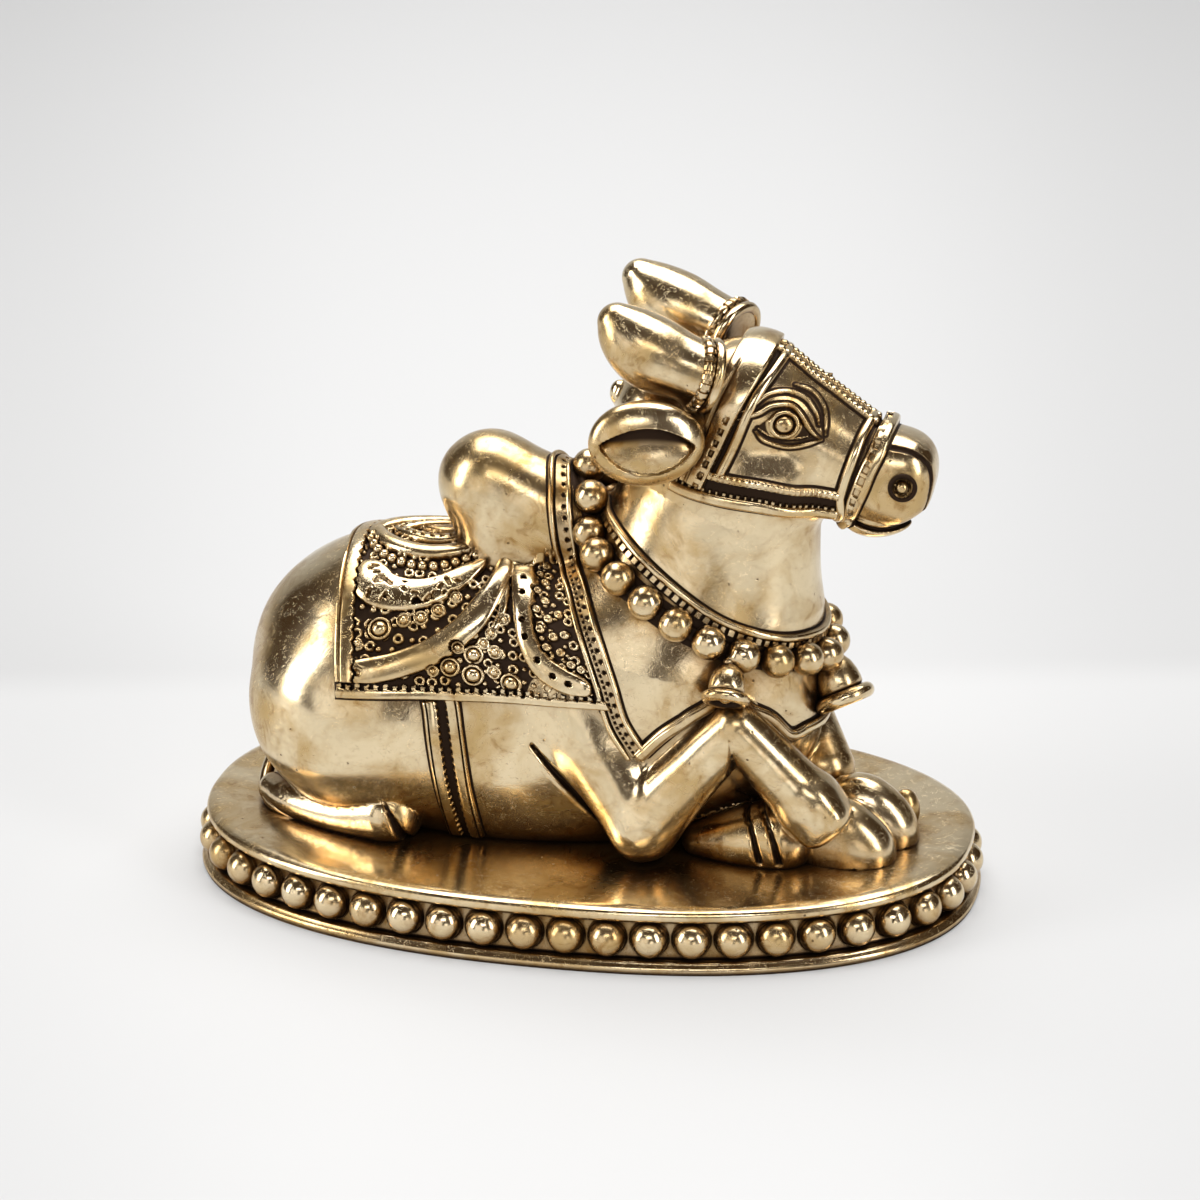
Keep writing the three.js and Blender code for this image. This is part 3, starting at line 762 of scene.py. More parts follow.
BOSSES = [
    (-20.6, 6.6, 1.5), (-16.3, 9.6, 1.5), (-16.2, 5.6, 1.7), (-12.3, 11, 1.1), (-12.2, 6.9, 1.1),
    (-8.8, 5.4, 1.7), (-34.6, 12.6, 1.8), (-40, 13.4, 1.0), (-30.2, 14.4, 1.1), (-27, 15.2, 1.1),
    (-23.9, 17.2, 1.1), (-21, 20.4, 1.0), (-38.6, 9.4, 0.9), (-19.4, 10.6, 1.0), (-13.4, 14.6, 0.9),
    (-11.2, 18, 0.8), (-14.6, 12.2, 0.9), (-23.8, 5.4, 0.9),
]


def to_line(x, y, line):
    """(distance to a line, share along it) of every (x, y)."""
    best, share = np.full(x.shape, 1e6), np.zeros(x.shape)
    lengths = np.linalg.norm(np.diff(line, axis=0), axis=1)
    before, whole = np.concatenate([[0], np.cumsum(lengths)]), lengths.sum()
    for k, (a, b) in enumerate(zip(line, line[1:])):
        dx, dy = b - a
        t = np.clip(((x - a[0]) * dx + (y - a[1]) * dy) / (dx * dx + dy * dy), 0, 1)
        away = np.hypot(x - a[0] - t * dx, y - a[1] - t * dy)
        closer = away < best
        best = np.where(closer, away, best)
        share = np.where(closer, (before[k] + t * lengths[k]) / whole, share)
    return best, share


def loose_points(x, y, pitch, seed):
    """(distance to the nearest of many loosely set points, a random number of that point from 0 to 1)."""
    table = np.random.default_rng(seed).uniform(0, 1, (64, 64, 3))
    column, row = np.floor(x / pitch), np.floor(y / pitch)
    best, luck = np.full(x.shape, 1e6), np.zeros(x.shape)
    for across in (-1, 0, 1):
        for along in (-1, 0, 1):
            i, j = (column + across).astype(int), (row + along).astype(int)
            own = table[i % 64, j % 64]
            px = (i + 0.25 + 0.5 * own[..., 0]) * pitch
            py = (j + 0.25 + 0.5 * own[..., 1]) * pitch
            away = np.hypot(x - px, y - py)
            luck = np.where(away < best, own[..., 2], luck)
            best = np.minimum(best, away)
    return best, luck


def on_off(along, pitch, share=0.5):
    return (along / pitch) % 1 < share


def pits(x, y, places, radius):
    hollow = np.zeros(x.shape)
    for px, py in places:
        hollow = np.maximum(hollow, dome(np.hypot(x - px, y - py), radius))
    return hollow


def strip(x, up, line, half, low, high):
    """Height of a rounded strip along a line, or 0 beside it."""
    away, share = to_line(x, up, curve(line, detail=6))
    half = half(share) if callable(half) else half
    return np.where(away < half, low + (high - low) * dome(away, half), 0)


def cloth_height(x, up, rear, foot):
    """Height of the cloth's relief in mm. rear and foot are the distances from its rear and lower edges."""
    away, luck = loose_points(x, up, 2.5, 3)
    size = 0.5 + 0.5 * luck
    height = 0.2 + 0.75 * dome(away, size)
    height = np.where(luck > 0.45, 0.2 + 0.8 * dome(away - 0.75, 0.36), height)
    height = np.maximum(height, strip(x, up, REAR_SASH, lambda s: 1.5 + 1.0 * step_up(s, 0, 0.5), 1.2, 2.2))
    height = height - 1.1 * pits(x, up, REAR_SASH[-1:], 0.7)
    sash = strip(x, up, FRONT_SASH, lambda s: 2.3 + 0.4 * np.sin(s * 9), 1.2, 2.1)
    height = np.maximum(height, sash - 1.5 * pits(x, up, SASH_HOLES, 0.7))
    away, share = to_line(x, up, curve(LEAF, detail=6))
    half = 3.7 * (1 - share) ** 0.5 * step_up(share + 0.3, 0, 0.4) + 0.3
    leaf = np.where(away < half, 1.1 + 0.75 * dome(away, half), 0)
    strokes = np.random.default_rng(5)
    for px, py in strokes.uniform((-38.5, 15.5), (-19, 25), (40, 2)):
        turn, reach = strokes.uniform(0, math.pi), strokes.uniform(0.2, 0.75)
        tip = (math.cos(turn) * reach, math.sin(turn) * reach)
        cut = to_line(x, up, np.array([(px - tip[0], py - tip[1]), (px + tip[0], py + tip[1])]))[0]
        leaf = leaf - 0.8 * dome(cut, 0.45) * (leaf > 0) * (away < half - 0.8)
    height = np.maximum(height, leaf)
    for line, half, top in ((CRESCENT, 1.7, 2.1), (INNER_CRESCENT, 1.35, 1.8), (TOP_CRESCENT, 1.3, 1.7),
                            (MIDDLE_RIDGE, 0.8, 1.4)):
        height = np.maximum(height, strip(x, up, line, half, 0.9, top))
    away, share = to_line(x, up, curve(INNER_CRESCENT, detail=6))
    height = height - 0.8 * dome(away, 0.5) * (np.sin(share * 60) > 0.2)
    for px, py in even(curve(BEAD_ARC), 2.2)[0]:
        away = np.hypot(x - px, up - py)
        height = np.where(away < 1.25, 0.2 + 1.4 * dome(away, 1.05), height)
    for px, py, size in BOSSES:
        away = np.hypot(x - px, up - py)
        ring = 0.4 + 0.55 * dome(away - size * 1.08, 0.32)
        height = np.where(away < size * 1.4, np.maximum(0.25, ring), height)
        height = np.maximum(height, (0.4 + 1.15 * dome(away, size * 0.82)) * (away < size * 0.82))
    for px, py in RING_DOTS:
        away = np.hypot(x - px, up - py)
        dot = np.maximum(0.3 + 0.75 * dome(away - 0.6, 0.36), 0.3 + 0.6 * dome(away, 0.3))
        height = np.where(away < 1.1, dot, height)
    inner = 2.9 + 0.5 * np.abs(np.sin(up * 1.3))
    border = 1.25 + 0.3 * dome(rear - 1.4, 1.7) - 0.5 * dome(rear - 0.75, 0.22)
    height = np.where(rear < inner, border, np.where(rear < inner + 0.45, 0.25, height))
    teeth = 1.55 + 1.0 * on_off(x + 60, 1.7, 0.55) + 0.2 * np.sin(x * 2.3)
    hem = np.where(foot < teeth, 1.2 + 0.35 * dome(foot - 0.9, 0.95), 0.2)
    height = np.where(foot < 2.7, hem, height)
    return np.where((rear < 0) | (foot < 0), 0.04, height)


def hump_rim(x, up, height):
    """(height, where the cloth ends) with a rounded rim along the foot of the hump."""
    below = np.interp(x, *zip(*HUMP_FOOT)) - up
    beside_hump = x > HUMP_FOOT[0][0]
    rim = np.where(np.abs(below - 0.7) < 0.7, 0.5 + 0.6 * dome(below - 0.7, 0.7), 0)
    return np.maximum(height, rim * beside_hump), beside_hump & (below < 0)


CLOTH_AXIS = 38.0     # height of the line that the cloth's rays start from


def half_cloth():
    ground = uneven(torso(hump=False))
    rows, columns = ((240, 264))
    along = np.concatenate([[-0.012, -0.003], np.linspace(0, 1, rows)])[:, None]
    rise = np.concatenate([[-0.012, -0.003], np.linspace(0, 1, columns)])[None, :]
    lean = 1 - np.clip(rise, 0, 1)
    angle = np.radians((80 - 3 * along) * (1 - rise))
    rear_edge = -45.2 + 4 * lean ** 1.2
    front_edge = -5 + 15.5 * lean ** 1.15
    x = rear_edge + (front_edge - rear_edge) * along

    def ray(reach):
        return np.stack([x, -reach * np.sin(angle), CLOTH_AXIS + reach * np.cos(angle)], -1)
    base = cast(ground, ray, np.full(x.shape, 6.0), np.full(x.shape, 70.0))
    steps = np.linalg.norm(np.diff(base, axis=1), axis=2)
    foot = np.concatenate([np.zeros((len(base), 1)), np.cumsum(steps, axis=1)], axis=1)
    foot = foot - foot[:, 2:3]
    up = foot + np.interp(base[:, :1, 0], *zip(*CLOTH_FOOT))
    height = cloth_height(base[..., 0], up, base[..., 0] - rear_edge, foot)
    height, bare = hump_rim(base[..., 0], up, height)
    height = np.where(bare, -0.8, height)
    outward = unit(slope(ground, base)[1])
    top = base + outward * height[..., None]
    under = (base - outward * 1.2)[:, [0, -1]]
    return sheet(top, under, np.where(bare, 0, 1 - step_up(height, 0.35, 0.95)))


def saddle_cloth(material):
    near = half_cloth()
    add_piece("saddle_cloth_right", near, material, crease=70)
    add_piece("saddle_cloth_left", mirrored(near), material, crease=70)


# Straps, girth, collar and halter

def cord(across, middle, half, low, high):
    """Height of a rounded cord that runs at middle, or 0 beside it."""
    away = np.abs(across - middle)
    return np.where(away < half, low + (high - low) * dome(away, half), 0)


def strap_relief(along, across, length):
    """A flat strap between two cords, with small marks along its rear part and stamps lower down."""
    front, rear = cord(across, 1.6, 0.48, 0.6, 1.2), cord(across, -1.65, 0.42, 0.6, 1.05)
    share = np.minimum(along, length - along) / (length / 2)
    marks = dome(np.hypot((along % 2.1) - 1.05, across + 0.75), 0.42)
    ticks = dome(across - 0.15, 0.32) * on_off(along, 1.15, 0.5) * step_up(0.62 - share, 0, 0.05)
    flat = 0.72 - 0.5 * dome(np.abs(across - 0.95), 0.2) - 0.55 * marks - 0.45 * ticks
    return np.maximum(flat, np.maximum(front, rear))


def hem_relief(along, across, length):
    return np.maximum(0.4, cord(across, 0, 1.3, 0.5, 1.25)) - 0.3 * dome(np.abs(across) - 0.75, 0.16)


def girth_relief(along, across, length):
    edge = np.abs(across)
    teeth = np.where(on_off(along, 1.5), 1.15, 0.75)
    return np.where(edge > teeth, 0.75 + 0.5 * dome(edge - 2.2, 1.3), 0.1) - 0.4 * dome(edge - 2.9, 0.16)


def collar_relief(along, across, length):
    teeth = np.where(on_off(along, 1.7, 0.7), 1.0, 0.35) * (across > -1.3)
    return np.where(across > -0.1, cord(across, 0.6, 0.75, 0.8, 1.4), teeth)


def jaw_relief(along, across, length):
    """A chiselled cord above, a slot with teeth, and a smooth cord below."""
    chisel = 0.3 * np.where(on_off(along, 1.1), 1, 0) * (across > 1.6)
    teeth = 0.6 * on_off(along, 1.3) * (across < -0.4)
    upper, lower = cord(across, 2.15, 0.8, 0.6, 1.35), cord(across, -1.95, 1.05, 0.6, 1.3)
    return np.maximum(np.maximum(upper - chisel * (upper > 0), lower), np.maximum(0.08, teeth))


def nose_relief(along, across, length):
    """A rolled strap with square stamps, thicker over the nose."""
    top = step_up(9 - np.minimum(along, length - along), 0, 6)
    stamp = on_off(along, 2.2, 0.62) * (np.abs(across + 0.35) < 0.55)
    return 0.75 + 0.55 * dome(across, 1.5) + 0.7 * top - 0.45 * stamp


def face_relief(along, across, length):
    """Two cords of small dots with a deep groove between them."""
    dots = 0.28 * np.abs(np.sin(along * 2.6))
    edge = np.abs(across)
    return np.where(np.abs(edge - 1.6) < 0.85, 0.45 + (0.45 + dots) * dome(edge - 1.6, 0.85), 0.1)


def brow_relief(along, across, length):
    """A flat strap over the brow between two grooves, with a row of stamps near its rear edge."""
    share = np.minimum(along, length - along) / (length / 2)
    broad = brow_width(along / length) / 2
    edge = step_up(broad - np.abs(across), 0.15, 0.6)
    roll = 0.12 + edge * (1.3 + 0.3 * dome(across, broad))
    low = step_up(0.5 - share, 0, 0.1)
    stamps = dome(across + broad * 0.42, 0.5) * on_off(along, 2.3, 0.55)
    slot = dome(across - broad * 0.35, 0.35) * step_up(0.8 - share, 0, 0.2)
    return roll - 0.7 * low * stamps - 0.5 * slot


def brow_width(share):
    """Width in mm of the brow band, widest over the forehead."""
    side = 1 - np.abs(2 * share - 1)
    return np.interp(side, (0, 0.35, 0.6, 0.8, 1), (5.2, 6.0, 6.8, 7.2, 7.2))


def string_relief(along, across, length):
    return np.maximum(0.05, cord(across, 0, 1.1, 0.3, 0.9)) + 0 * along


def cord_relief(along, across, length):
    return cord(across, 0, 0.9, 0.3, 1.0) + 0 * along


BREAST_STRAP = [
    (-4.9, 0, 81.7), (-3.1, -6.9, 77), (-2, -8.8, 71), (-0.6, -9.9, 66), (2.6, -16.4, 62.6),
    (6.5, -22.2, 55.2), (9.4, -24.2, 48.1), (11.7, -24.6, 40.6), (15.4, -23.8, 34),
]
BREAST_HEM = [
    (15, -23.9, 33.6), (19.9, -23.3, 38.6), (23.9, -22.5, 41.5), (26.4, -21.8, 43.2), (31.2, -19.9, 45.4),
    (35.7, -17.3, 42.5), (38.7, -15.1, 40.1), (41.6, -11.9, 35.8), (44, -8.4, 35.9), (45.6, -4.3, 35.9),
    (46.4, 0, 36),
]
GIRTH = [
    (-22.4, -24.9, 43.5), (-21.9, -24.8, 40.9), (-21.2, -25.1, 34.5), (-20.3, -24.6, 26.8),
    (-19.4, -22.5, 19.2), (-18.9, -19.5, 13),
]
COLLAR = [
    (3, 0, 79.5), (5.5, -4.9, 75.9), (8.9, -10.9, 73.8), (12, -14.1, 71.7), (15.9, -16.5, 69),
    (20.3, -17.9, 65.9), (25.1, -18.5, 62.6), (29.8, -18.3, 59.7), (34.9, -16.7, 57.3), (39.7, -13.5, 55.4),
    (43.5, -8.5, 54.1), (46, 0, 53),
]
BROW_BAND = [
    (23.6, -15.5, 85), (25.8, -14.6, 90.3), (27.7, -14.2, 95.3), (29.3, -14, 99.6), (30.9, -12.9, 103.4),
    (32.6, -10, 106.6), (33.8, -5.2, 108.6), (34.2, 0, 109.2),
]
BROW_CORD = [
    (28.6, -15, 86.6), (31.6, -14, 93.3), (33.6, -13.4, 98.4), (35.4, -12, 102.2), (37.2, -9, 104.9),
    (38.4, -5, 106.6), (38.8, 0, 107.2),
]
NOSE_BAND = [
    (57.7, 0, 94), (57.5, -4.1, 93.2), (56.7, -7.3, 90.8), (55.3, -8.7, 87.8), (54, -8.9, 84.3),
    (52.2, -7.1, 80.1), (50.8, -4.3, 76.6), (50, 0, 75.5),
]
NOSE_CORD = [
    (54.8, 0, 95.6), (54.2, -4.4, 94.4), (53.4, -7, 92.5), (52.4, -8.6, 89.6), (51.2, -9, 85.9),
    (49.8, -7.3, 81.7), (48.4, -3, 78), (48, 0, 77.4),
]
JAW_STRAP = [
    (19.5, -14.5, 87), (23.6, -14.7, 85.8), (30, -14.8, 84.6), (36.1, -13.8, 83.6), (43.2, -11.2, 81.9),
    (50.5, -8.6, 80.7),
]
FACE_STRAP = [(35, 0, 108.8), (41, 0, 105.4), (46, 0, 101.9), (50, 0, 99), (56.5, 0, 94.8)]


def both_halves(half, closed=False):
    """A path from its near half, which ends on the middle plane and, where closed, starts on it too."""
    first = 1 if closed else 0
    return half + [(x, -y, z) for x, y, z in reversed(half[first:-1])]


STRAP_WIDTH, HEM_WIDTH, GIRTH_WIDTH, COLLAR_WIDTH = 4.2, 2.7, 7.0, 2.5
CORD_WIDTH, NOSE_WIDTH, JAW_WIDTH, FACE_WIDTH = 1.9, 3.0, 5.9, 4.9


def harness(material):
    ground = uneven(torso())
    trunk = uneven(torso(hump=False))
    head = uneven(skull())
    strap = band(ground, both_halves(BREAST_STRAP[::-1]), STRAP_WIDTH, strap_relief, 25, step=0.28, low=0.5)
    hem = band(ground, both_halves(BREAST_HEM), HEM_WIDTH, hem_relief, 17)
    add_piece("breast_straps", merged([strap, hem]), material)
    girth = band(trunk, GIRTH, GIRTH_WIDTH, girth_relief, 37, step=0.25, high=0.8)
    add_piece("girth", both_sides(girth), material)
    line = both_halves(COLLAR, closed=True)
    collar = band(trunk, line, COLLAR_WIDTH, collar_relief, 19, step=0.25, closed=True, low=0.4)
    add_piece("collar", collar, material)
    nose, nose_cord = both_halves(NOSE_BAND, closed=True), both_halves(NOSE_CORD, closed=True)
    halter = [
        band(head, both_halves(BROW_BAND), brow_width, brow_relief, 41, step=0.25, high=0.8),
        band(head, both_halves(BROW_CORD), CORD_WIDTH, cord_relief, 11),
        band(head, nose, NOSE_WIDTH, nose_relief, 21, step=0.25, closed=True, low=0.4),
        band(head, nose_cord, CORD_WIDTH, cord_relief, 11, closed=True),
        both_sides(band(head, JAW_STRAP, JAW_WIDTH, jaw_relief, 41, step=0.25, low=0.2, high=0.8)),
        band(head, FACE_STRAP, FACE_WIDTH, face_relief, 31, step=0.25, low=0.35, high=0.75),
    ]
    add_piece("halter", merged(halter), material)


NECKLACE = [
    (-0.6, 0, 79.2), (0, -2.6, 78.4), (1.2, -5.2, 75.6), (3, -7.6, 71.9), (7, -13.1, 68.4),
    (12.6, -17.6, 65.2), (18, -19.5, 61.9), (23.5, -19.9, 58.7), (29, -19.2, 56), (33.7, -17.5, 53.8),
    (37.2, -15.5, 52.6), (40.8, -12.3, 51.2), (43.9, -7.8, 50.3), (47, 0, 48.6),
]
NECKLACE_PITCH = 6.75
NECKLACE_BEAD = 3.25
BEAD_LIFT = 0.55         # how far a bead's middle stands off the skin, as a share of its radius
# width of the strip under the beads: a cord in a flat sheet, all painted dark as painted shade round the
# beads
STRING_AND_SHADE_WIDTH = 4.2


def necklace(material):
    ground = torso()
    path = both_halves(NECKLACE, closed=True)
    line = settle(ground, even(curve(path, closed=True), 1.0)[0])
    length = even(line, 1.0)[1]
    count = round(length / NECKLACE_PITCH)
    places = even(line, length / count)[0][:-1]
    outward = unit(slope(ground, places)[1])
    beads = balls(places + outward * NECKLACE_BEAD * BEAD_LIFT, NECKLACE_BEAD)
    points, faces, _ = band(ground, path, STRING_AND_SHADE_WIDTH, string_relief, 17, closed=True)
    # The whole strip is painted dark: painted shade round the beads.
    add_piece("necklace", merged([beads, (points, faces, np.ones(len(points)))]), material)


# Where each bell hangs, its size, and the turns about X and about Y that swing its mouth outwards
BELL_PLACES = [
    ((32.2, -21.4, 52.9), 1.02, -36, 0),
    ((46.9, -0.8, 47.6), 1.34, -18, -26),
    ((32.2, 21.4, 52.9), 1.02, 36, 0),
]


def bell():
    """A bell hanging from the origin, mouth down."""
    round_lip = np.radians(np.linspace(130, -150, 13))
    lip = [(3.35 + 1.1 * math.cos(a), -6.3 + 1.1 * math.sin(a)) for a in round_lip]
    outside = [
        (0, 0.3), (1, 0.2), (2, -0.4), (2.8, -1.6), (3.2, -2.9), (3.35, -4.1), (3.3, -4.8), (3, -5.2),
    ]
    inside = [(2.4, -5.6), (2.2, -3.6), (0, -3.2)]
    tone = [0] * 6 + [0.4, 1, 0.8] + [0] * 9 + [0.5, 0.9] + [1] * 4
    clapper = moved(ball(16, 10), (0, 0, -5.9), size=1.3)
    loop = balls([(0, 0, 0.6)], 1.2)
    return merged([lathe(outside + lip + inside, 36, tone), clapper, loop])


def bells(material):
    shape = bell()
    hung = []
    for place, size, sideways, forwards in BELL_PLACES:
        hung.append(moved(shape, place, spin(sideways, "X") @ spin(forwards, "Y"), size))
    add_piece("bells", merged(hung), material, crease=60)


# Face

EYE_AT = (40.3, -10.7, 97)
EYE_ALONG = (14.1, 4.0, -1.8)
# Lines round the eye: (mm towards the muzzle, mm up), with the height of the ridge along them
LID = [(-8.7, -0.3), (-5.2, 1.4), (-2.8, 3.1), (0.7, 3.5), (2.8, 1.7), (4.9, -1.4), (7, -3.1)]
LID_FOLD = [(-9, 0.9), (-6.6, 2.4), (-3.8, 5.4), (0, 6.4), (3.5, 5.2), (5.6, 2.4), (6.3, 0)]
BROW = [(1.4, 7.9), (4.9, 6.6), (7.2, 3.3), (7.7, -2)]
UNDER_LID = [(-5.2, -2.4), (-3.5, -4.2), (0, -5.2), (2.8, -4.9), (7, -3.1)]
RIM_BELOW = [(-4.9, -1.7), (-2.8, -2.9), (0, -3.4), (2.8, -3), (4.9, -2.4)]
RIM_ABOVE = [(-5.2, -1.7), (-3.1, 0.5), (-1.8, 2), (0, 2.5), (2, 1.5), (3, 0), (4.9, -2.4)]
EYE_RIDGES = (
    (LID, 0.55, 0.85), (LID_FOLD, 0.45, 0.65), (BROW, 0.38, 0.5), (UNDER_LID, 0.42, 0.6),
    (RIM_BELOW, 0.3, 0.5),
)
EYE_SQUEEZE = 0.86


def eye_height(a, b):
    """(relief round an eye, how much of it shows) at a mm towards the muzzle and b mm above the middle."""
    b = b / EYE_SQUEEZE
    height, nearest = 0.08 + 0 * a, np.full(a.shape, 1e6)
    for line, half, top in EYE_RIDGES:
        away, share = to_line(a, b, curve(line, detail=8))
        thin = half * (0.35 + 0.65 * step_up(np.minimum(share, 1 - share), 0, 0.2))
        height = np.maximum(height, 0.08 + top * dome(away, thin))
        nearest = np.minimum(nearest, away - thin)
    opening = (b < np.interp(a, *zip(*RIM_ABOVE), -9, -9)) & (b > np.interp(a, *zip(*RIM_BELOW)))
    away = np.hypot(a + 0.2, b + 0.5)
    ring = (0.75 + 0.3 * dome(away - 2.5, 0.4)) * (np.abs(away - 2.5) < 0.4)
    eyeball = np.maximum(0.3 + 0.5 * dome(away, 3.4), ring)
    eyeball = np.where(away < 2.1, 0.15, eyeball)
    eyeball = np.where(away < 1.7, 0.6 + 0.7 * dome(away, 1.7), eyeball)
    height = np.where(opening, eyeball, height)
    shown = np.where(opening, 1, 1 - step_up(nearest, 0.25, 1.0))
    return height * shown - 0.1 * (1 - shown), shown


def eye():
    head = uneven(skull())
    ahead = unit(np.array(EYE_ALONG))
    outward = unit(slope(head, np.array([EYE_AT], float))[1])[0]
    outward = unit(outward - ahead * (outward @ ahead))
    up = np.cross(outward, ahead)
    step = 0.18
    a, b = np.meshgrid(np.arange(-10, 9.2, step), np.arange(-6.4, 9.2, step), indexing="ij")
    flat = np.array(EYE_AT) + a[..., None] * ahead + b[..., None] * up

    def ray(reach):
        return flat + reach[..., None] * outward
    base = cast(head, ray, np.full(a.shape, -9.0), np.full(a.shape, 5.0))
    normal = unit(slope(head, base)[1])
    height, shown = eye_height(a, b)
    top = base + normal * height[..., None]
    under = (base - normal * 0.8)[:, [0, -1]]
    return sheet(top, under, (1 - step_up(height, 0.2, 0.6)) * shown)


# Place and radius of the toothed and the smooth ring round the root of each horn
TOOTHED_RING = (24.7, 13, 106.1), 5.9
SMOOTH_RING = (26.5, 12, 105.5), 6.0
RING_TEETH = 24


def toothed(turn):
    return 0.75 + 0.4 * (np.sin(turn * RING_TEETH) > -0.2)


def horn_rings():
    """A toothed ring and a smooth ring round the root of each horn."""
    rings = []
    for side in SIDES:
        way = beside(HORN_WAY, side)
        for (place, radius), wire, count, tone in ((TOOTHED_RING, toothed, 12 * RING_TEETH, 0.25),
                                                   (SMOOTH_RING, 1.05, 120, 0.0)):
            points, faces, _ = hoop(beside(place, side), way, radius, wire, count)
            rings.append((points, faces, np.full(len(points), tone)))
    return merged(rings)


def nostril_rims():
    head = bull_head()
    rims = []
    for side in SIDES:
        out = slope(head, beside(NOSTRIL_AT, side)[None, :] + (0.5, side * 3, 0))[1][0]
        rims.append(hoop(beside(NOSTRIL_AT, side) - (0, side * 0.25, 0), out, 2.3, 0.42, 40))
    return merged(rims)


TAIL = [
    (-60.5, 3, 24), (-62.5, -3, 18.5), (-62.6, -8, 15.2), (-60, -13, 13.6), (-55.5, -16, 12.8),
    (-50, -17.6, 11.6),
]
TAIL_RADIUS = 1.3


def trimmings(material):
    add_piece("eyes", both_sides(eye()), material, crease=75)
    add_piece("horn_rings", merged([horn_rings(), nostril_rims()]), material)
    add_piece("tail", tube(TAIL, TAIL_RADIUS), material)


# Plinth

OVAL_FULLNESS = 2.3
OVERHANG = 1.4       # how far the foot rim stands out from the plate's edge
PLATE_SIDES = 360
RIM_PITCH = 7.8
RIM_BEAD = 3.5
RIM_LINE = -1.6      # how far the beads' middles stand out from the plate's edge
BAND_LOW, BAND_HIGH = 2.3, 9.7
CUP = [(0, -1.4), (3.7, -1.4), (3.8, -0.9), (3.8, -0.3), (3.72, 0), (3.6, -0.05), (3.45, -0.6), (0, -0.8)]
CUP_TONE = [1, 1, 0.8, 0.1, 0, 0.4, 1, 1]
CUP_LIFT = 0.15


def oval(turn, half_length, half_width, out):
    def bend(value):
        return np.sign(value) * np.abs(value) ** (2 / OVAL_FULLNESS)
    return np.stack([(half_length + out) * bend(np.cos(turn)), (half_width + out) * bend(np.sin(turn))], -1)


def arc(height, out, radius, start, end, count=6):
    """Points of (height, how far out) on a round edge between two angles in degrees."""
    angles = np.radians(np.linspace(start, end, count))
    return [(height + radius * math.sin(a), out + radius * math.cos(a)) for a in angles]


def edge_profile():
    """(points of the plinth's edge from the underside to the plate, how dark each one is)."""
    lower = [(0, -6), (0, OVERHANG - 0.3), *arc(0.9, OVERHANG - 0.9, 0.9, -60, 50)]
    step = arc(1.75, 0.1, 0.55, 10, 80, 4)
    groove = [
        (BAND_LOW + 0.1, -0.6), (BAND_LOW - 0.1, -1.2), (BAND_LOW, -1.7), (BAND_LOW + 0.5, -1.95),
        (BAND_HIGH - 0.5, -1.95), (BAND_HIGH, -1.7), (BAND_HIGH + 0.15, -1.2), (BAND_HIGH, -0.8),
    ]
    upper = arc(11.0, -1.2, 1.25, -60, 60, 9)
    upper += [(PLATE_TOP - 0.05, -1.6), (PLATE_TOP, -2.8), (PLATE_TOP - 0.02, -6)]
    tones = [0.3, 0.2] + [0] * 6 + [0.1] * 4 + [0.7, 1, 1, 0.15, 0.15, 1, 1, 0.6] + [0] * 12
    return lower + step + groove + upper, tones


def plinth(material):
    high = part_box("oval_plinth")[1]
    half_length, half_width = high.x / MM - OVERHANG, high.y / MM - OVERHANG
    fine = np.linspace(0, 2 * math.pi, 4001)

    def spaced(count, out, shift=0.0):
        line = oval(fine, half_length, half_width, out)
        along = np.concatenate([[0], np.cumsum(np.linalg.norm(np.diff(line, axis=0), axis=1))])
        places = (np.arange(count) + shift) / count * along[-1]
        return np.interp(places, along, fine), along[-1]
    turns, _ = spaced(PLATE_SIDES, 0)
    profile, tones = edge_profile()
    level = np.ones(PLATE_SIDES)
    rings = [np.c_[oval(turns, half_length, half_width, out), level * z] for z, out in profile]
    slab = np.concatenate(rings), stacked_rings(len(rings), PLATE_SIDES), np.repeat(tones, PLATE_SIDES)
    count = round(spaced(8, RIM_LINE)[1] / RIM_PITCH)
    bead_turns, _ = spaced(count, RIM_LINE, 0.5)
    middle = (BAND_LOW + BAND_HIGH) / 2
    places = np.c_[oval(bead_turns, half_length, half_width, RIM_LINE), np.full(count, middle)]
    tangent = unit(oval(bead_turns + 0.01, half_length, half_width, RIM_LINE) - places[:, :2])
    outward = np.c_[tangent[:, 1], -tangent[:, 0], np.zeros(count)]
    cup = lathe(CUP, 28, CUP_TONE)
    cups = []
    for place, way in zip(places, outward):
        turn = Vector(way).to_track_quat("Z", "Y").to_matrix()
        cups.append(moved(cup, place + way * CUP_LIFT, turn))
    add_piece("plinth_plate", slab, material, "oval_plinth", crease=40)
    add_piece("plinth_beads", merged([balls(places, RIM_BEAD, 24, 14), *cups]), material, "oval_plinth")


# Materials

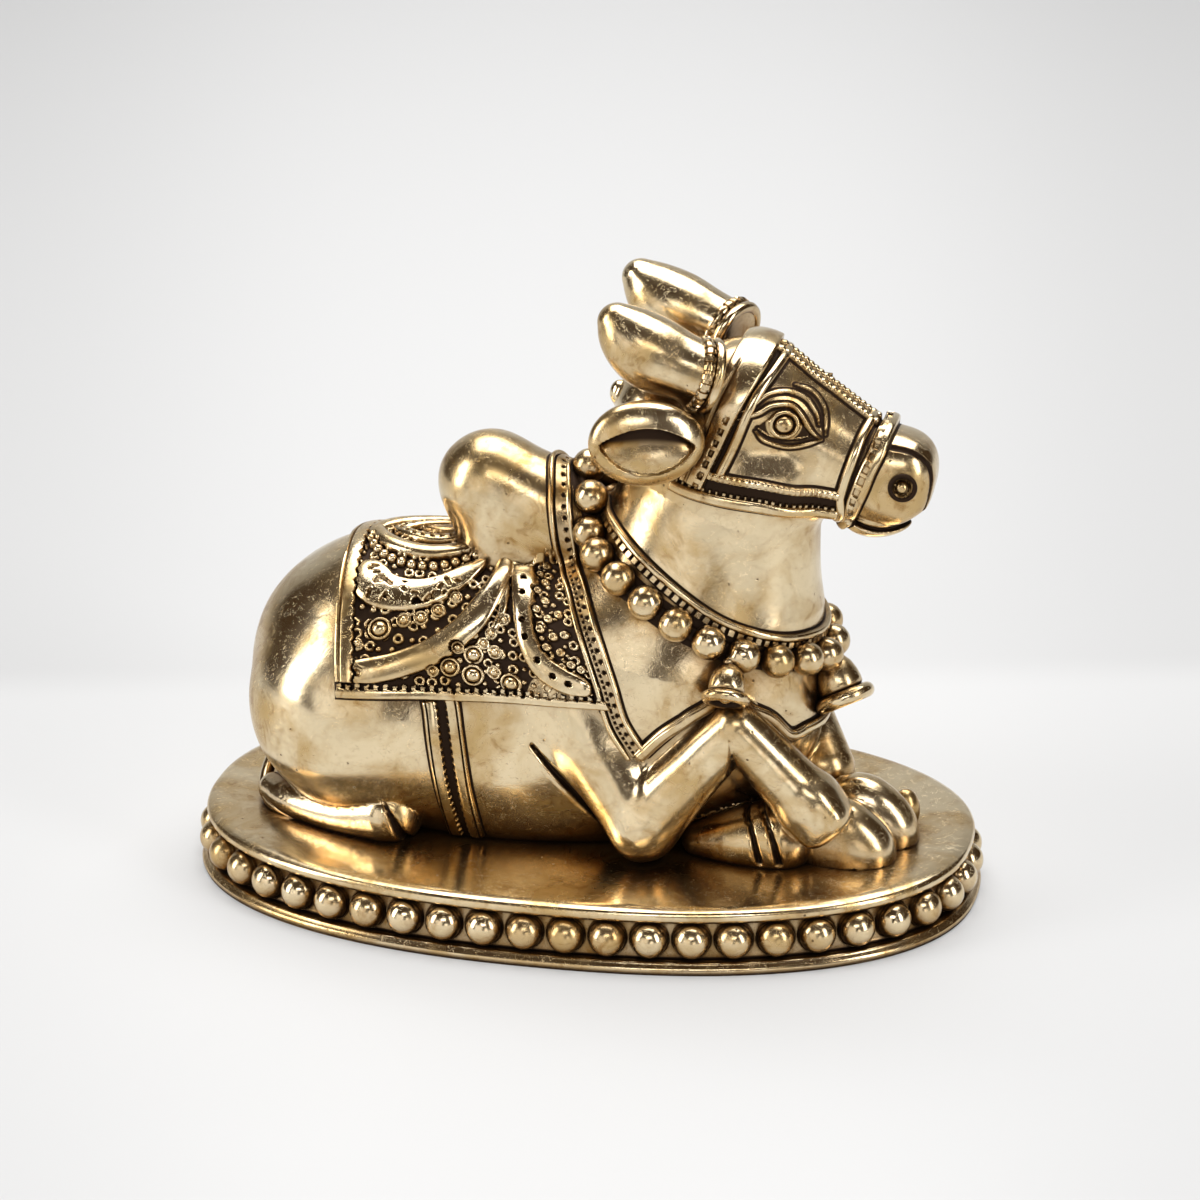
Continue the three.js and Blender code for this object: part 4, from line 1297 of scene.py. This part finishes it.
class Nodes:
    """Short calls for the nodes of one material."""

    def __init__(self, material):
        material.use_nodes = True
        self.tree = material.node_tree
        self.tree.nodes.clear()

    def add(self, kind, inputs=None, **settings):
        node = self.tree.nodes.new(kind)
        for key, value in settings.items():
            setattr(node, key, value)
        for key, value in (inputs or {}).items():
            if isinstance(value, bpy.types.NodeSocket):
                self.tree.links.new(value, node.inputs[key])
            else:
                node.inputs[key].default_value = value
        return node

    def math(self, operation, a, b=0.0, clamp=False):
        node = self.add("ShaderNodeMath", {0: a, 1: b}, operation=operation, use_clamp=clamp)
        return node.outputs[0]

    def ramp(self, value, low, high, start=0.0, end=1.0):
        inputs = {"Value": value, "From Min": low, "From Max": high, "To Min": start, "To Max": end}
        return self.add("ShaderNodeMapRange", inputs, interpolation_type="SMOOTHSTEP").outputs["Result"]

    def noise(self, where, scale, detail=3.0, rough=0.55, bend=0.0):
        inputs = {"Vector": where, "Scale": scale, "Detail": detail, "Roughness": rough, "Distortion": bend}
        return self.add("ShaderNodeTexNoise", inputs).outputs["Fac"]

    def mix(self, share, a, b):
        node = self.add("ShaderNodeMix", {0: share, 6: a, 7: b}, data_type="RGBA")
        return node.outputs[2]

    def surface(self, inputs):
        shader = self.add("ShaderNodeBsdfPrincipled", inputs)
        self.add("ShaderNodeOutputMaterial", {"Surface": shader.outputs[0]})


BRASS_PALE = (0.82, 0.675, 0.44, 1)
BRASS_WARM = (0.57, 0.395, 0.175, 1)
# The amber and the near black paint patina, pits and scratches, and also painted shade from ambient
# occlusion.
BRASS_AMBER_PATINA_AND_SHADE = (0.30, 0.145, 0.03, 1)
BRASS_DARK_PATINA_AND_SHADE = (0.022, 0.009, 0.002, 1)


def brass():
    material = bpy.data.materials.new("polished_brass")
    n = Nodes(material)
    where = n.add("ShaderNodeTexCoord").outputs["Object"]
    cloudy = n.noise(where, 70, 4, 0.6, 0.6)
    blotchy = n.noise(where, 260, 3, 0.6, 1.2)
    fine = n.noise(where, 2600, 2, 0.6)
    curls = []
    for scale, line, broken in ((420, 0.006, 900), (700, 0.008, 600)):
        wave = n.noise(where, scale, 1.5, 0.5, 1.4)
        thin = n.ramp(n.math("ABSOLUTE", n.math("SUBTRACT", wave, 0.5)), line, 0)
        curls.append(n.math("MULTIPLY", thin, n.ramp(n.noise(where, broken, 1), 0.53, 0.58)))
    scratched = n.math("MAXIMUM", curls[0], curls[1])
    cells = n.add("ShaderNodeTexVoronoi", {"Vector": where, "Scale": 420.0, "Randomness": 1.0})
    pit = n.math("MULTIPLY", n.ramp(cells.outputs["Distance"], 0.16, 0.05), n.ramp(blotchy, 0.54, 0.62))
    # Painted shade: ambient occlusion darkens the colour in narrow crevices, where it also stands for patina,
    # and over broad hollows under and between parts.
    near = n.add("ShaderNodeAmbientOcclusion", {"Distance": 0.0018}, samples=4).outputs["AO"]
    wide = n.add("ShaderNodeAmbientOcclusion", {"Distance": 0.009}, samples=4).outputs["AO"]
    dark = n.add("ShaderNodeAttribute", attribute_name="dark").outputs["Fac"]
    # Patina and painted shade from the dark attribute, and painted shade in narrow crevices.
    hollow = n.math("MAXIMUM", dark, n.ramp(near, 0.72, 0.3))
    stain = n.math("MULTIPLY", n.ramp(blotchy, 0.5, 0.72), n.ramp(cloudy, 0.42, 0.62, 0.15, 0.6))
    # Amber: painted shade in broad hollows and crevices, patina, and random stains.
    amber_patina_and_shade = n.math("MAXIMUM", n.ramp(wide, 0.85, 0.4), n.math("MULTIPLY", hollow, 0.9))
    amber_patina_and_shade = n.math("ADD", n.math("MULTIPLY", amber_patina_and_shade, 0.85), stain, clamp=True)
    # Near black: painted shade in crevices and broad hollows, patina in grooves, pits and scratches.
    deep = n.math("MAXIMUM", n.ramp(hollow, 0.3, 0.9), n.math("MULTIPLY", pit, 0.8))
    deep = n.math("MAXIMUM", deep, n.ramp(wide, 0.6, 0.15, 0, 0.8))
    deep = n.math("MAXIMUM", deep, n.math("MULTIPLY", scratched, 0.22))
    metal = n.mix(n.ramp(cloudy, 0.35, 0.68), BRASS_PALE, BRASS_WARM)
    metal = n.mix(amber_patina_and_shade, metal, BRASS_AMBER_PATINA_AND_SHADE)
    colour = n.mix(deep, metal, BRASS_DARK_PATINA_AND_SHADE)
    rough = n.ramp(cloudy, 0.3, 0.7, 0.16, 0.29)
    rough = n.math("ADD", rough, n.math("MULTIPLY", deep, 0.3), clamp=True)
    relief = n.math("SUBTRACT", n.math("MULTIPLY", fine, 0.12), n.math("MULTIPLY", scratched, 0.5))
    relief = n.math("SUBTRACT", relief, n.math("MULTIPLY", pit, 1.2))
    relief = n.math("ADD", relief, n.math("MULTIPLY", blotchy, 1.1))
    bump = n.add("ShaderNodeBump", {"Height": relief, "Strength": 0.5, "Distance": 0.00007})
    metallic = n.ramp(deep, 0.5, 1, 1, 0.75)
    n.surface({"Base Color": colour, "Metallic": metallic, "Roughness": rough, "Normal": bump.outputs[0]})
    return material


# Stage, light and camera

CAMERA_AZIMUTH, CAMERA_ELEVATION, CAMERA_ROLL = 13.43, 22.39, 0.72
CAMERA_DISTANCE = 800.0
FOCAL_PIXELS = 4184.0
FRAME_PIXELS = 1200
SENSOR = 36.0
LOOK_FROM = (0.0, 0.0, 40.0)
LOOK_ASIDE, LOOK_ABOVE = 2.82, 13.94


def camera():
    azimuth, elevation = math.radians(CAMERA_AZIMUTH), math.radians(CAMERA_ELEVATION)
    back = Vector((math.sin(azimuth) * math.cos(elevation), -math.cos(azimuth) * math.cos(elevation),
                   math.sin(elevation)))
    right = Vector((math.cos(azimuth), math.sin(azimuth), 0))
    up = back.cross(right)
    place = Vector(LOOK_FROM) + back * CAMERA_DISTANCE
    target = Vector(LOOK_FROM) + right * LOOK_ASIDE + up * LOOK_ABOVE
    away = (place - target).normalized()
    right = up.cross(away).normalized()
    up = away.cross(right)
    roll = math.radians(CAMERA_ROLL)
    rolled_right = right * math.cos(roll) - up * math.sin(roll)
    rolled_up = right * math.sin(roll) + up * math.cos(roll)
    data = bpy.data.cameras.new("camera")
    data.sensor_width = SENSOR
    data.lens = FOCAL_PIXELS / FRAME_PIXELS * SENSOR
    data.clip_start, data.clip_end = 0.05, 20
    view = placed("camera", data)
    view.matrix_world = Matrix((
        (rolled_right.x, rolled_up.x, away.x, place.x * MM),
        (rolled_right.y, rolled_up.y, away.y, place.y * MM),
        (rolled_right.z, rolled_up.z, away.z, place.z * MM),
        (0, 0, 0, 1),
    ))
    bpy.context.scene.camera = view


BLACK = (0, 0, 0, 1)
FLOOR_ALBEDO = (0.44, 0.44, 0.44, 1)
FLOOR_TINT = (0.975, 0.99, 1, 1)
FLOOR_GLOW = 0.26
VIEW_TURN = 13.4     # degrees from the frame's axes to the camera's plane
# The floor's outline from front to back, in metres, and half its width
FLOOR_LINE = [(-1.1, 0), (0.8, 0), (1.0, 0.01), (1.14, 0.06), (1.22, 0.16), (1.26, 0.34), (1.27, 1.2)]
FLOOR_HALF = 1.4
# Name, place in metres, size and power of each light
LIGHTS = [
    ("overhead", (0, 0.33, 1.1), (1.2, 0.9), 18.5),
    ("left_box", (-0.95, -0.5, 0.45), (0.35, 0.8), 7),
    ("right_box", (1.0, -0.45, 0.45), (0.25, 0.8), 5),
    ("front_box", (-0.4, -1.3, 0.34), (1.15, 0.7), 2.5),
    ("low_box", (0.6, -1.1, 0.12), (0.36, 0.24), 0.5),
    ("high_box", (0.25, -1.2, 0.85), (0.7, 0.25), 3),
]
LIT_POINT = (0, 0, 0.05)
ROOM_MIRRORED = (0.045, 0.025, 0.009, 1)
ROOM_SEEN = (0.72, 0.72, 0.72, 1)


def floor_material():
    """Pale paper that glows a little, with painted shade: darker behind a soft line and towards both sides.
    """
    material = bpy.data.materials.new("floor_white")
    n = Nodes(material)
    where = n.add("ShaderNodeTexCoord").outputs["Object"]
    x, y = n.add("ShaderNodeSeparateXYZ", {"Vector": where}).outputs[:2]
    spread = n.math("DIVIDE", n.math("ABSOLUTE", x), n.math("ADD", n.math("MULTIPLY", y, 1.12), 1.0))
    # Painted shade: a soft step to a darker tone behind a line across the floor, and a darker tone towards
    # both sides, in the colour and in the glow.
    behind = n.ramp(y, 0.085, 0.105)
    tone = n.math("SUBTRACT", 1.0, n.math("MULTIPLY", behind, n.ramp(spread, 0.0, 0.12, 0.03, 0.09)))
    tone = n.math("SUBTRACT", tone, n.math("MULTIPLY", n.ramp(spread, 0.04, 0.13), 0.1))
    n.surface({
        "Base Color": n.mix(tone, BLACK, FLOOR_ALBEDO), "Roughness": 0.7,
        "Emission Color": n.mix(tone, BLACK, FLOOR_TINT), "Emission Strength": FLOOR_GLOW,
    })
    return material


def stage():
    """A pale floor that curves up into a backdrop behind."""
    points = [(x, y, z) for y, z in FLOOR_LINE for x in (-FLOOR_HALF, FLOOR_HALF)]
    faces = [(k, k + 1, k + 3, k + 2) for k in range(0, len(points) - 2, 2)]
    mesh = bpy.data.meshes.new("floor")
    mesh.from_pydata(points, [], faces)
    mesh.polygons.foreach_set("use_smooth", [True] * len(mesh.polygons))
    mesh.materials.append(floor_material())
    floor = placed("floor", mesh)
    floor.rotation_euler = (0, 0, math.radians(VIEW_TURN))


def lighting():
    for name, place, size, power in LIGHTS:
        data = bpy.data.lights.new(name, "AREA")
        data.shape = "RECTANGLE"
        data.size, data.size_y = size
        data.energy = power
        lamp = placed(name, data)
        lamp.location = place
        lamp.rotation_mode = "QUATERNION"
        lamp.rotation_quaternion = (Vector(place) - Vector(LIT_POINT)).to_track_quat("Z", "Y")


def room():
    """Dark and warm where the metal mirrors it, and pale behind the floor."""
    world = bpy.data.worlds.new("studio")
    bpy.context.scene.world = world
    world.use_nodes = True
    nodes, links = world.node_tree.nodes, world.node_tree.links
    rays = nodes.new("ShaderNodeLightPath")
    choice = nodes.new("ShaderNodeMixRGB")
    choice.inputs["Color1"].default_value = ROOM_MIRRORED
    choice.inputs["Color2"].default_value = ROOM_SEEN
    links.new(rays.outputs["Is Camera Ray"], choice.inputs["Fac"])
    links.new(choice.outputs["Color"], nodes["Background"].inputs["Color"])


metal = brass()
brass_bull(metal)
saddle_cloth(metal)
harness(metal)
necklace(metal)
bells(metal)
trimmings(metal)
plinth(metal)
stage()
camera()
lighting()
room()
bpy.context.scene.view_settings.view_transform = "Standard"
